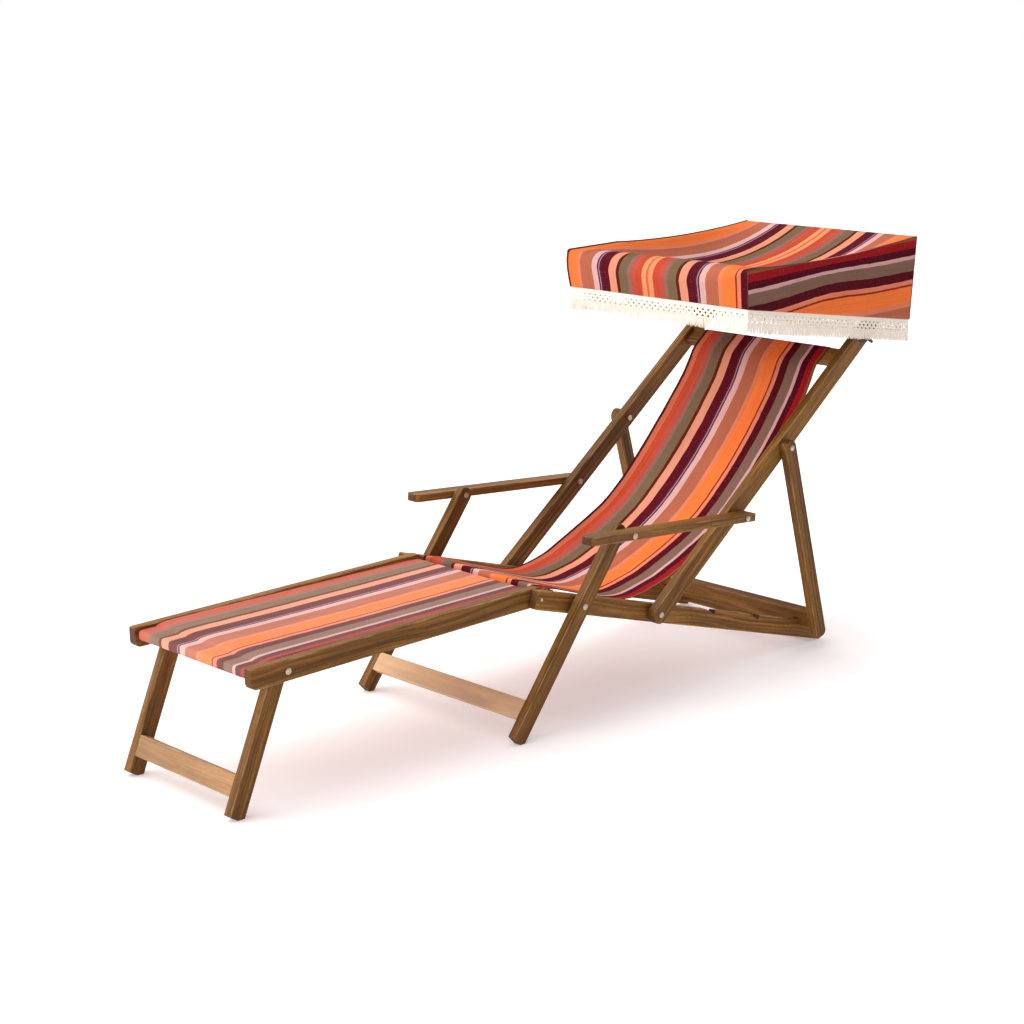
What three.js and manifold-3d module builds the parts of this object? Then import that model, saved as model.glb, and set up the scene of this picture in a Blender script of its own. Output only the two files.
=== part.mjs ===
// Reclining deck chair with arms, a folding footrest and a fringed cloth canopy.
// Millimetres, +Z up. The sitter faces -Y and X runs across the chair.
// Every timber member is drawn in the side plane (y, z) and extruded across the chair.

import * as THREE from 'three';
import Module from 'manifold-3d';

// Positions across the chair, measured from the middle plane
const seatRailInner = 215.5;
const railThickness = 22;
const seatRailGap = 10.6;
const stileThickness = 22;
const armGap = 2.9;
const armWidth = 42;
const strutGap = 4;
const strutThickness = 22;
const footrestGap = 2.8;
const footrestRailThickness = 22;
const footrestLegGap = 1.5;
const footrestLegThickness = 22;
const clearance = 0.3;

// Seat frame: the rails slope down to the floor behind
const seatFrontY = 432.7;
const seatFrontZ = 335.8;
const seatSlopeDegrees = -15.6;
const seatRailLength = 1094;
const seatRailDepth = 45;
const seatRailCorner = 5;
const seatRailHeel = 1.80717;
const notchesFromEnd = [457, 277];
const notchDepths = [9, 11];
const notchRamps = [34, 40];
const notchBacks = [3, 3];
const frontBarY = 486;
const frontBarZ = 301;
const rearBarFromEnd = 32;
const rearBarAcross = -24;
const rearBarDepth = 34;

// Back frame: stiles turn on the seat rails at their lower ends
const stilePivotY = 809;
const stilePivotZ = 208.4;
const stileDegrees = 37.59;
const stileLength = 1125;
const stileDepth = 45;
const stileTopCorner = 9;
const armPivotOnStile = 325.3;
const strutPivotOnStile = 560.5;
const canopyPivotFromTop = 170;
const headBarFromTop = 254;

// Front legs
const legPivotY = 547.5;
const legPivotZ = 281.7;
const legDegrees = 52.94;
const legDepth = 39;
const legPivotToArm = 191.6;
const legPivotToFoot = 342.7;
const legToe = 27.39954;
const legBarFromFoot = 68.7;
const legBarOffset = 8;

// Arms
const armThickness = 19.4;
const armFrontOverhang = 140;
const armRearOverhang = 35;
const armFrontCorner = 15;
const armRearCorner = 8;
const armEdgeRound = 4;

// Prop frame
const strutDepth = 38;
const strutBelowBar = 48;
const strutFootCorner = 14;
const propBarFromEnd = 100.77;
const propBarRise = 11.17;
const propBarDepth = 50;
const propBarClearance = 0.4;
const propBarExit = 16;

// Footrest
const footrestFrontY = -354.6;
const footrestFrontZ = 320;
const footrestDegrees = 1.03;
const footrestDepth = 45;
const footrestRailLength = 815;
const footrestPinY = 443.5;
const footrestPinZ = 311.5;
const footrestPinRadius = 4;
const footBarY = -324;
const footBarZ = 303;
const footBarThickness = 18;
const footrestRearBarY = 441;
const footrestRearBarZ = 302;
const footrestRearRound = 8;
const footrestNoseRound = 15;
const footrestTopRound = 5;

// Footrest legs
const footLegPivotY = -260.9;
const footLegPivotZ = 298.2;
const footLegDegrees = 67.79;
const footLegDepth = 40;
const footLegTopEnd = 9;
const footLegTopRound = 9;
const footLegLength = 316.6;
const footLegToe = 24.11256;
const footLegBarFromFoot = 61;
const footLegBarOffset = 8;

// The feet are sawn a little steeper than square
const legEndSkewDegrees = 9;
const legToeRound = 2;

// Crossbars share one section
const barThickness = 22;
const barDepth = 42;
const deepBarDepth = 47;
const barCorner = 3;
const timberEdge = 1.2;

// Pivot hardware
const boltRadius = 3.6;
const boltClearance = 0.35;
const boltHeadRadius = 7.5;
const boltHeadHeight = 3.2;
const nutHeight = 5;
const collarRadius = 10;
const thinCollarRadius = 8;
const spacerRadius = 12;
const boltFacets = 16;

// Cloth
const clothThickness = 2;
const slingHalfWidth = 205;
const slingColumns = 6;
const slingHeadShift = 16;
const slingFrontShift = 5;
const slingHollow = 9;
const footSlingHalfWidth = 188;
const footSlingSag = 17;
const footSlingSagPower = 1.5;
const footSlingHollow = 6;
const footSlingRows = 18;
const clothToBar = 1.45;
const wrapCorner = 3.5;
// Side profile of the main sling as shares of the line from the head bar to the front bar:
// along that line and, as a share of its length, square to it
const slingSpanShares = [
  [0.0484, 0.002],
  [0.0909, 0.0223],
  [0.1406, 0.0491],
  [0.2287, 0.0931],
  [0.3178, 0.1299],
  [0.3956, 0.1557],
  [0.4667, 0.1728],
  [0.5333, 0.1788],
  [0.5862, 0.18],
  [0.6291, 0.1788],
  [0.6718, 0.1764],
  [0.7134, 0.169],
  [0.7491, 0.1616],
  [0.7794, 0.1518],
  [0.8094, 0.136],
  [0.8375, 0.1145],
  [0.8665, 0.0897],
  [0.8954, 0.0644],
  [0.924, 0.0388],
  [0.9524, 0.0132],
  [0.9711, -0.0028],
];

// Canopy
// Reaches and rises are measured from the bolt that the canopy turns on.
const canopyFrontReach = 497.7;
const canopyRearReach = 198.3;
const canopyFrontHalf = 291;
const canopyRearHalf = 281;
const roofFrontRise = 212;
const roofRearRise = 241;
const roofEdgeSag = 12;
const roofMiddleSag = 53;
const roofSagHalf = 275;
const roofFoldDrop = 46;
const hemFrontRise = 118;
const hemRearRise = 26;
const hemInset = 1.5;
const hemFrontShift = 9;
const hemRearShift = -14;
const canopyCorner = 6;
const canopyWave = 1.3;
const canopyEdgeDrop = 2.3;
const roofRailEdge = 1;
const canopyWaveCount = 9;
const canopySideSegments = 12;
const canopyFrontSegments = 10;
const canopyCornerSegments = 2;
const roofRingShares = [0.22, 0.44, 0.64, 0.8, 0.91, 0.975];
const valanceRingShares = [0.08, 0.36, 0.68, 1];
const fringeDrop = 57;
const fringeOverlap = 7;
const fringeThickness = 1.6;
const fringeGap = 0.35;
const fringeScallop = 5;
const fringeTassels = 60;
const canopyRailWidth = 15;
const canopyRailDepth = 26;
const canopyRailDrop = 27.6;
const canopyRailInset = 10;
const canopyBarWidth = 18;
const canopyBarHeight = 32;
const canopyBarDrop = 13.2;
const canopyFrontBarInset = 44;
const bracketThickness = 2;
const bracketLobe = 15;
const bracketTopSpan = 70;
const wingNutThickness = 3;
const wingNutHub = 9;
const wingNutReach = 38;
const wingNutTip = 6;
const wingNutDegrees = -27;

const timber = new THREE.MeshStandardMaterial({ color: 0x7d5a34, roughness: 0.55, metalness: 0 });
const zinc = new THREE.MeshStandardMaterial({ color: 0xc9c6be, roughness: 0.4, metalness: 0.8 });
const darkSteel = new THREE.MeshStandardMaterial({ color: 0x2e2b29, roughness: 0.45, metalness: 0.8 });
const canvas = new THREE.MeshStandardMaterial({ color: 0xc8643c, roughness: 0.9, metalness: 0 });
const lace = new THREE.MeshStandardMaterial({ color: 0xece2d0, roughness: 0.95, metalness: 0 });

const wasm = await Module();
wasm.setup();

const group = new THREE.Group();

const radians = THREE.MathUtils.degToRad;
const weldDistance = 0.001;
const arcStep = Math.PI / 10;
// Local x runs along a member, local y across it, local z across the chair.
const sideBasis = new THREE.Matrix4().makeBasis(
  new THREE.Vector3(0, 1, 0),
  new THREE.Vector3(0, 0, 1),
  new THREE.Vector3(1, 0, 0),
);

// Point in the side plane reached from a start point along and across a direction
function sidePoint(startY, startZ, degrees, along, across) {
  const c = Math.cos(radians(degrees));
  const s = Math.sin(radians(degrees));
  return [startY + along * c - across * s, startZ + along * s + across * c];
}

// Direction in degrees and distance from one point in the side plane to another
function sideReach([startY, startZ], [endY, endZ]) {
  const degrees = THREE.MathUtils.radToDeg(Math.atan2(endZ - startZ, endY - startY));
  return [degrees, Math.hypot(endY - startY, endZ - startZ)];
}

function addMesh(name, geometry, material, x, y, z, degrees) {
  const mesh = new THREE.Mesh(geometry, material);
  mesh.name = name;
  mesh.position.set(x, y, z);
  mesh.rotation.x = radians(degrees);
  group.add(mesh);
  return mesh;
}

// Adds the same solid on the left (+X) and on the right (-X)
function addPair(name, geometry, material, x, y, z, degrees) {
  addMesh(`${name}_left`, geometry, material, x, y, z, degrees);
  addMesh(`${name}_right`, geometry, material, -x, y, z, degrees);
}

function hole(x, y, radius) {
  const path = new THREE.Path();
  path.absarc(x, y, radius, 0, 2 * Math.PI, true);
  return path;
}

// Closed outline through points, each corner rounded by its own radius
function roundedOutline(points, radii) {
  const outline = [];
  const count = points.length;
  const push = (x, y) => {
    const last = outline[outline.length - 1];
    if (!last || Math.hypot(last.x - x, last.y - y) > weldDistance) outline.push(new THREE.Vector2(x, y));
  };
  for (let i = 0; i < count; i += 1) {
    const corner = new THREE.Vector2(...points[i]);
    const into = new THREE.Vector2(...points[(i + count - 1) % count]).sub(corner).normalize();
    const out = new THREE.Vector2(...points[(i + 1) % count]).sub(corner).normalize();
    if (radii[i] > 0) {
      const half = Math.acos(THREE.MathUtils.clamp(into.dot(out), -1, 1)) / 2;
      const reach = radii[i] / Math.tan(half);
      const inward = into.clone().add(out).normalize();
      const centre = corner.clone().addScaledVector(inward, radii[i] / Math.sin(half));
      const start = corner.clone().addScaledVector(into, reach).sub(centre);
      const sweep = Math.PI - 2 * half;
      const turn = into.cross(out) > 0 ? -1 : 1;
      const steps = Math.max(2, Math.round(sweep / arcStep));
      for (let k = 0; k <= steps; k += 1) {
        const spot = start.clone().rotateAround(new THREE.Vector2(), turn * sweep * k / steps);
        push(centre.x + spot.x, centre.y + spot.y);
      }
    } else {
      push(corner.x, corner.y);
    }
  }
  const first = outline[0];
  const last = outline[outline.length - 1];
  if (Math.hypot(last.x - first.x, last.y - first.y) <= weldDistance) outline.pop();
  return new THREE.Shape(outline);
}

// Extrudes an outline across the chair, centred on x = 0, with eased arrises
function acrossChair(shape, width, edge, curveSegments) {
  const geometry = new THREE.ExtrudeGeometry(shape, {
    depth: width - 2 * edge,
    bevelEnabled: edge > 0,
    bevelThickness: edge,
    bevelSize: edge,
    bevelOffset: -edge,
    bevelSegments: 1,
    curveSegments,
  });
  geometry.translate(0, 0, edge - width / 2);
  geometry.applyMatrix4(sideBasis);
  return geometry;
}

function toManifold(geometry) {
  const bare = geometry.clone();
  bare.deleteAttribute('normal');
  bare.deleteAttribute('uv');
  const merged = mergeByPosition(bare);
  return new wasm.Manifold(new wasm.Mesh({
    numProp: 3,
    vertProperties: merged.positions,
    triVerts: merged.indices,
  }));
}

// Welds equal corners of a triangle soup
function mergeByPosition(geometry) {
  const source = geometry.getAttribute('position');
  const index = geometry.getIndex();
  const corners = index ? index.count : source.count;
  const seen = new Map();
  const positions = [];
  const indices = new Uint32Array(corners);
  const perUnit = 10000;
  for (let i = 0; i < corners; i += 1) {
    const at = index ? index.getX(i) : i;
    const p = [source.getX(at), source.getY(at), source.getZ(at)];
    const key = p.map((value) => Math.round(value * perUnit)).join(',');
    if (!seen.has(key)) {
      seen.set(key, positions.length / 3);
      positions.push(...p);
    }
    indices[i] = seen.get(key);
  }
  return { positions: new Float32Array(positions), indices };
}

function fromManifold(solid) {
  const mesh = solid.getMesh();
  const geometry = new THREE.BufferGeometry();
  geometry.setAttribute('position', new THREE.BufferAttribute(new Float32Array(mesh.vertProperties), 3));
  geometry.setIndex(new THREE.BufferAttribute(new Uint32Array(mesh.triVerts), 1));
  const flat = geometry.toNonIndexed();
  flat.computeVertexNormals();
  return flat;
}

// Crossbar between a pair of members, centred on the middle plane
function addBar(name, halfSpan, depth, thickness, y, z, degrees) {
  const u = thickness / 2;
  const v = depth / 2;
  const outline = roundedOutline(
    [[-v, -u], [v, -u], [v, u], [-v, u]],
    [barCorner, barCorner, barCorner, barCorner],
  );
  const geometry = acrossChair(outline, 2 * (halfSpan - clearance), 0, 3);
  addMesh(name, geometry, timber, 0, y, z, degrees);
}

// Bolt turned about its axis: rounded head outside, collar between layers, nut inside
// Each section is [start, end, radius], listed from the inside outwards.
function boltGeometry(sections) {
  const profile = [new THREE.Vector2(0, sections[0][0])];
  for (const [start, end, radius] of sections) {
    profile.push(new THREE.Vector2(radius, start));
    profile.push(new THREE.Vector2(radius, end));
  }
  const last = sections[sections.length - 1];
  const domed = last[2] / 2;
  profile.push(new THREE.Vector2(domed, last[1] + boltHeadHeight / 3));
  profile.push(new THREE.Vector2(0, last[1] + boltHeadHeight / 3));
  const geometry = new THREE.LatheGeometry(profile, boltFacets);
  geometry.rotateZ(-Math.PI / 2);
  return geometry;
}

// Left bolt points its head to +X, the right one is turned about
function addBoltPair(name, material, sections, y, z) {
  const left = boltGeometry(sections);
  const right = boltGeometry(sections);
  right.rotateZ(Math.PI);
  addMesh(`${name}_left`, left, material, 0, y, z, 0);
  addMesh(`${name}_right`, right, material, 0, y, z, 0);
}

// Layers across the chair
const seatRailOuter = seatRailInner + railThickness;
const stileInner = seatRailOuter + seatRailGap;
const stileOuter = stileInner + stileThickness;
const armInner = stileOuter + armGap;
const armOuter = armInner + armWidth;
const strutInner = stileOuter + strutGap;
const strutOuter = strutInner + strutThickness;
const footrestOuter = seatRailInner - footrestGap;
const footrestInner = footrestOuter - footrestRailThickness;
const footLegOuter = footrestInner - footrestLegGap;
const footLegInner = footLegOuter - footrestLegThickness;
const boltHole = boltRadius + boltClearance;

// Places in the side plane that several pieces share
const onStile = (along) => sidePoint(stilePivotY, stilePivotZ, stileDegrees, along, 0);
const headCentre = onStile(stileLength - headBarFromTop);
const strutPivot = onStile(strutPivotOnStile);
const canopyPivot = onStile(stileLength - canopyPivotFromTop);
const armRearEnd = onStile(armPivotOnStile);
const armFrontEnd = sidePoint(legPivotY, legPivotZ, legDegrees, legPivotToArm, 0);
const propBarAlong = seatRailLength - propBarFromEnd;
const propBarCentre = sidePoint(seatFrontY, seatFrontZ, seatSlopeDegrees, propBarAlong, propBarRise);
const [strutDegrees, propBarFromPivot] = sideReach(strutPivot, propBarCentre);
const canopyFrontY = canopyPivot[0] - canopyFrontReach;
const canopyRearY = canopyPivot[0] + canopyRearReach;
const roofFrontZ = canopyPivot[1] + roofFrontRise;
const roofRearZ = canopyPivot[1] + roofRearRise;
const hemFrontZ = canopyPivot[1] + hemFrontRise;
const hemRearZ = canopyPivot[1] + hemRearRise;

// Position along and across the seat rail of a point in the side plane
function seatRailPosition(y, z) {
  const c = Math.cos(radians(seatSlopeDegrees));
  const s = Math.sin(radians(seatSlopeDegrees));
  const dy = y - seatFrontY;
  const dz = z - seatFrontZ;
  return [dy * c + dz * s, dz * c - dy * s];
}

// Seat rails with ratchet notches along the top and a heel that stands on the floor
function addSeatRails() {
  const heelRun = seatRailHeel / Math.tan(radians(-seatSlopeDegrees));
  const points = [
    [0, -seatRailDepth],
    [seatRailLength - heelRun, -seatRailDepth],
    [seatRailLength, seatRailHeel - seatRailDepth],
    [seatRailLength, 0],
  ];
  const radii = [seatRailCorner, 0, 0, seatRailCorner];
  for (let i = notchesFromEnd.length - 1; i >= 0; i -= 1) {
    const at = seatRailLength - notchesFromEnd[i];
    points.push([at + notchBacks[i], 0], [at, -notchDepths[i]], [at - notchRamps[i], 0]);
    radii.push(0, 0, 0);
  }
  points.push([0, 0]);
  radii.push(seatRailCorner);
  const outline = roundedOutline(points, radii);
  const pinHole = footrestPinRadius + boltClearance;
  outline.holes.push(hole(...seatRailPosition(legPivotY, legPivotZ), boltHole));
  outline.holes.push(hole(...seatRailPosition(stilePivotY, stilePivotZ), boltHole));
  outline.holes.push(hole(...seatRailPosition(footrestPinY, footrestPinZ), pinHole));
  const whole = acrossChair(outline, railThickness, timberEdge, 6);
  // The rear notch is cut to the bar that lies in it, open to the side where the bar swings out.
  const u = propBarDepth / 2 + propBarClearance;
  const v = barThickness / 2 + propBarClearance;
  const bed = roundedOutline(
    [[-u, -v], [u, -v], [u, v + propBarExit], [-u, v + propBarExit]],
    [0, 0, 0, 0],
  );
  const cutter = acrossChair(bed, 2 * railThickness, 0, 1);
  cutter.rotateX(radians(strutDegrees - seatSlopeDegrees));
  cutter.translate(0, propBarAlong, propBarRise);
  const geometry = fromManifold(toManifold(whole).subtract(toManifold(cutter)));
  const x = (seatRailInner + seatRailOuter) / 2;
  addPair('seat_rail', geometry, timber, x, seatFrontY, seatFrontZ, seatSlopeDegrees);
  const upright = 90 + seatSlopeDegrees;
  addBar('seat_front_bar', seatRailInner, barDepth, barThickness, frontBarY, frontBarZ, upright);
  const rearBarAlong = seatRailLength - rearBarFromEnd;
  const rear = sidePoint(seatFrontY, seatFrontZ, seatSlopeDegrees, rearBarAlong, rearBarAcross);
  addBar('seat_rear_bar', seatRailInner, rearBarDepth, barThickness, ...rear, seatSlopeDegrees);
}

function addStiles() {
  const half = stileDepth / 2;
  const outline = new THREE.Shape();
  outline.moveTo(0, -half);
  outline.lineTo(stileLength - stileTopCorner, -half);
  outline.quadraticCurveTo(stileLength, -half, stileLength, stileTopCorner - half);
  outline.lineTo(stileLength, half - stileTopCorner);
  outline.quadraticCurveTo(stileLength, half, stileLength - stileTopCorner, half);
  outline.lineTo(0, half);
  outline.absarc(0, 0, half, Math.PI / 2, 3 * Math.PI / 2, false);
  for (const at of [0, armPivotOnStile, strutPivotOnStile, stileLength - canopyPivotFromTop]) {
    outline.holes.push(hole(at, 0, boltHole));
  }
  const geometry = acrossChair(outline, stileThickness, timberEdge, 8);
  const x = (stileInner + stileOuter) / 2;
  addPair('back_stile', geometry, timber, x, stilePivotY, stilePivotZ, stileDegrees);
  addBar('head_bar', stileInner, deepBarDepth, barThickness, ...headCentre, stileDegrees);
}

// A leg turns at its top hole; the lower end is sawn off level where it stands on the floor
function legOutline(topEnd, [rearRound, frontRound], footLength, toe, depth, degrees) {
  const half = depth / 2;
  // The front of the lower end leans by the skew down to the level cut.
  const skew = Math.tan(radians(legEndSkewDegrees));
  const heelRun = (depth - toe) / Math.tan(radians(degrees));
  const toeEnd = -footLength - toe * skew;
  return roundedOutline(
    [
      [toeEnd + heelRun, -half],
      [topEnd, -half],
      [topEnd, half],
      [-footLength, half],
      [toeEnd, half - toe],
    ],
    [0, rearRound, frontRound, legToeRound, 0],
  );
}

function addFrontLegs() {
  const round = legDepth / 2;
  const topEnd = legPivotToArm + round;
  const outline = legOutline(topEnd, [round, round], legPivotToFoot, legToe, legDepth, legDegrees);
  outline.holes.push(hole(0, 0, boltHole));
  outline.holes.push(hole(legPivotToArm, 0, boltHole));
  const geometry = acrossChair(outline, stileThickness, timberEdge, 6);
  const x = (stileInner + stileOuter) / 2;
  addPair('front_leg', geometry, timber, x, legPivotY, legPivotZ, legDegrees);
  const barAt = legBarFromFoot - legPivotToFoot;
  const bar = sidePoint(legPivotY, legPivotZ, legDegrees, barAt, legBarOffset);
  addBar('front_leg_bar', stileInner, deepBarDepth, barThickness, ...bar, legDegrees);
}

// Arms are flat boards with rounded ends, shaped in side view and in plan
function addArms() {
  const [degrees, reach] = sideReach(armFrontEnd, armRearEnd);
  const half = armThickness / 2;
  const start = -armFrontOverhang;
  const end = reach + armRearOverhang;
  const side = roundedOutline(
    [[start, -half], [end, -half], [end, half], [start, half]],
    [armEdgeRound, armEdgeRound, armEdgeRound, armEdgeRound],
  );
  side.holes.push(hole(0, 0, boltHole));
  side.holes.push(hole(reach, 0, boltHole));
  const board = acrossChair(side, armWidth, timberEdge, 4);
  const w = armWidth / 2;
  const plan = roundedOutline(
    [[-w, start], [w, start], [w, end], [-w, end]],
    [armFrontCorner, armFrontCorner, armRearCorner, armRearCorner],
  );
  const cutter = new THREE.ExtrudeGeometry(plan, {
    depth: 4 * armThickness,
    bevelEnabled: false,
    curveSegments: 6,
  });
  cutter.translate(0, 0, -2 * armThickness);
  const geometry = fromManifold(toManifold(board).intersect(toManifold(cutter)));
  const x = (armInner + armOuter) / 2;
  addPair('arm', geometry, timber, x, ...armFrontEnd, degrees);
}

function addPropFrame() {
  const half = strutDepth / 2;
  const strutLength = propBarFromPivot + strutBelowBar;
  const outline = roundedOutline(
    [[-half, -half], [strutLength, -half], [strutLength, half], [-half, half]],
    [half, strutFootCorner, strutFootCorner, half],
  );
  outline.holes.push(hole(0, 0, boltHole));
  const geometry = acrossChair(outline, strutThickness, timberEdge, 6);
  const x = (strutInner + strutOuter) / 2;
  addPair('prop_strut', geometry, timber, x, ...strutPivot, strutDegrees);
  addBar('prop_bar', strutInner, propBarDepth, barThickness, ...propBarCentre, strutDegrees);
}

function addFootrest() {
  const toLocal = (y, z) => {
    const c = Math.cos(radians(footrestDegrees));
    const s = Math.sin(radians(footrestDegrees));
    const dy = y - footrestFrontY;
    const dz = z - footrestFrontZ;
    return [dy * c + dz * s, dz * c - dy * s];
  };
  const outline = roundedOutline(
    [
      [0, -footrestDepth],
      [footrestRailLength, -footrestDepth],
      [footrestRailLength, 0],
      [0, 0],
    ],
    [footrestNoseRound, footrestRearRound, footrestRearRound, footrestTopRound],
  );
  outline.holes.push(hole(...toLocal(footLegPivotY, footLegPivotZ), boltHole));
  outline.holes.push(hole(...toLocal(footrestPinY, footrestPinZ), footrestPinRadius + boltClearance));
  const geometry = acrossChair(outline, footrestRailThickness, timberEdge, 6);
  const x = (footrestInner + footrestOuter) / 2;
  addPair('footrest_rail', geometry, timber, x, footrestFrontY, footrestFrontZ, footrestDegrees);
  addBar('foot_bar', footrestInner, barDepth, footBarThickness, footBarY, footBarZ, footrestDegrees);
  addBar(
    'footrest_rear_bar',
    footrestInner,
    barDepth,
    barThickness,
    footrestRearBarY,
    footrestRearBarZ,
    90 + footrestDegrees,
  );
}

function addFootrestLegs() {
  const rounds = [footLegTopRound, footLegDepth / 2];
  const outline = legOutline(footLegTopEnd, rounds, footLegLength, footLegToe, footLegDepth, footLegDegrees);
  outline.holes.push(hole(0, 0, boltHole));
  const geometry = acrossChair(outline, footrestLegThickness, timberEdge, 6);
  const x = (footLegInner + footLegOuter) / 2;
  addPair('footrest_leg', geometry, timber, x, footLegPivotY, footLegPivotZ, footLegDegrees);
  const pivot = [footLegPivotY, footLegPivotZ];
  const barAt = footLegBarFromFoot - footLegLength;
  const bar = sidePoint(...pivot, footLegDegrees, barAt, footLegBarOffset);
  addBar('footrest_leg_bar', footLegInner, deepBarDepth, barThickness, ...bar, footLegDegrees);
}

function addHardware() {
  const c = clearance;
  const r = boltRadius;
  const spacerLength = seatRailGap - 2 * c;
  const ring = new THREE.Shape();
  ring.absarc(0, 0, spacerRadius, 0, 2 * Math.PI, false);
  ring.holes.push(hole(0, 0, boltHole));
  const spacer = acrossChair(ring, spacerLength, 0, 10);
  const spacerX = seatRailOuter + seatRailGap / 2;
  addPair('leg_spacer', spacer, timber, spacerX, legPivotY, legPivotZ, 0);
  addPair('stile_spacer', spacer, timber, spacerX, stilePivotY, stilePivotZ, 0);

  const headBase = boltHeadHeight * 2 / 3;
  const throughSeat = [
    [seatRailInner - c - nutHeight, seatRailInner - c, boltHeadRadius],
    [seatRailInner - c, stileOuter + c, r],
    [stileOuter + c, stileOuter + c + headBase, boltHeadRadius],
  ];
  addBoltPair('leg_bolt', zinc, throughSeat, legPivotY, legPivotZ);
  addBoltPair('stile_bolt', zinc, throughSeat, stilePivotY, stilePivotZ);

  const armRear = [
    [stileInner - c - nutHeight, stileInner - c, boltHeadRadius],
    [stileInner - c, stileOuter + c, r],
    [stileOuter + c, armInner - c, thinCollarRadius],
    [armInner - c, armOuter + c, r],
    [armOuter + c, armOuter + c + headBase, boltHeadRadius],
  ];
  addBoltPair('arm_rear_bolt', zinc, armRear, ...armRearEnd);

  const armFront = [
    [stileOuter + 2 * c, armInner - c, thinCollarRadius],
    [armInner - c, armOuter + c, r],
    [armOuter + c, armOuter + c + headBase, boltHeadRadius],
  ];
  addBoltPair('arm_front_bolt', zinc, armFront, ...armFrontEnd);
  const legTop = [
    [-stileOuter, -stileInner + c, r],
    [-stileInner + c, -stileInner + c + headBase, boltHeadRadius],
  ];
  addBoltPair('leg_top_stud', zinc, legTop, ...armFrontEnd);

  const throughStrut = [
    [stileInner - c - nutHeight, stileInner - c, boltHeadRadius],
    [stileInner - c, stileOuter + c, r],
    [stileOuter + c, strutInner - c, collarRadius],
    [strutInner - c, strutOuter + c, r],
    [strutOuter + c, strutOuter + c + headBase, boltHeadRadius],
  ];
  addBoltPair('prop_bolt', zinc, throughStrut, ...strutPivot);

  const throughFootLeg = [
    [footLegInner - c - nutHeight, footLegInner - c, boltHeadRadius],
    [footLegInner - c, footrestOuter + c, r],
    [footrestOuter + c, footrestOuter + c + headBase, boltHeadRadius],
  ];
  addBoltPair('footrest_leg_bolt', zinc, throughFootLeg, footLegPivotY, footLegPivotZ);

  const pin = new THREE.Shape();
  pin.absarc(0, 0, footrestPinRadius, 0, 2 * Math.PI, false);
  const pinStart = footrestInner + 2 * c;
  const pinEnd = seatRailOuter - timberEdge;
  const pinGeometry = acrossChair(pin, pinEnd - pinStart, 0, 8);
  addPair('footrest_pin', pinGeometry, zinc, (pinStart + pinEnd) / 2, footrestPinY, footrestPinZ, 0);
}

// Points around a bar section from one face, over the end, to the other face
function wrapAround(centre, degrees, depth, thickness, turns) {
  const u = depth / 2 + clothToBar;
  const v = thickness / 2 + clothToBar;
  return turns.map(([alongShare, acrossShare, nudgeAlong, nudgeAcross]) => sidePoint(
    ...centre,
    degrees,
    alongShare * u + nudgeAlong * wrapCorner,
    acrossShare * v + nudgeAcross * wrapCorner,
  ));
}

// Closed sheet with thickness that follows a side path across a width
function sheetGeometry(path, halfWidth, columns, hollowAt, shiftAt) {
  const rows = path.length;
  const half = clothThickness / 2;
  const normals = path.map((p, i) => {
    const a = path[Math.max(i - 1, 0)];
    const b = path[Math.min(i + 1, rows - 1)];
    const length = Math.hypot(b[0] - a[0], b[1] - a[1]);
    return [-(b[1] - a[1]) / length, (b[0] - a[0]) / length];
  });
  const positions = [];
  for (const sign of [1, -1]) {
    for (let i = 0; i < rows; i += 1) {
      for (let j = 0; j <= columns; j += 1) {
        const across = -1 + 2 * j / columns;
        const dip = hollowAt(i) * (1 - across * across);
        const offset = sign * half;
        positions.push(
          halfWidth * across + shiftAt(i),
          path[i][0] + normals[i][0] * (offset - dip),
          path[i][1] + normals[i][1] * (offset - dip),
        );
      }
    }
  }
  const stride = columns + 1;
  const other = rows * stride;
  const indices = [];
  const quad = (a, b, c, d) => indices.push(a, b, c, a, c, d);
  for (let i = 0; i < rows - 1; i += 1) {
    for (let j = 0; j < columns; j += 1) {
      const a = i * stride + j;
      quad(a, a + 1, a + 1 + stride, a + stride);
      quad(other + a, other + a + stride, other + a + 1 + stride, other + a + 1);
    }
    const left = i * stride;
    quad(left, left + stride, other + left + stride, other + left);
    const right = left + columns;
    quad(right, other + right, other + right + stride, right + stride);
  }
  for (let j = 0; j < columns; j += 1) {
    quad(j, other + j, other + j + 1, j + 1);
    const end = (rows - 1) * stride + j;
    quad(end, end + 1, other + end + 1, other + end);
  }
  const geometry = new THREE.BufferGeometry();
  geometry.setAttribute('position', new THREE.Float32BufferAttribute(positions, 3));
  geometry.setIndex(indices);
  geometry.computeVertexNormals();
  return geometry;
}

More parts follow.
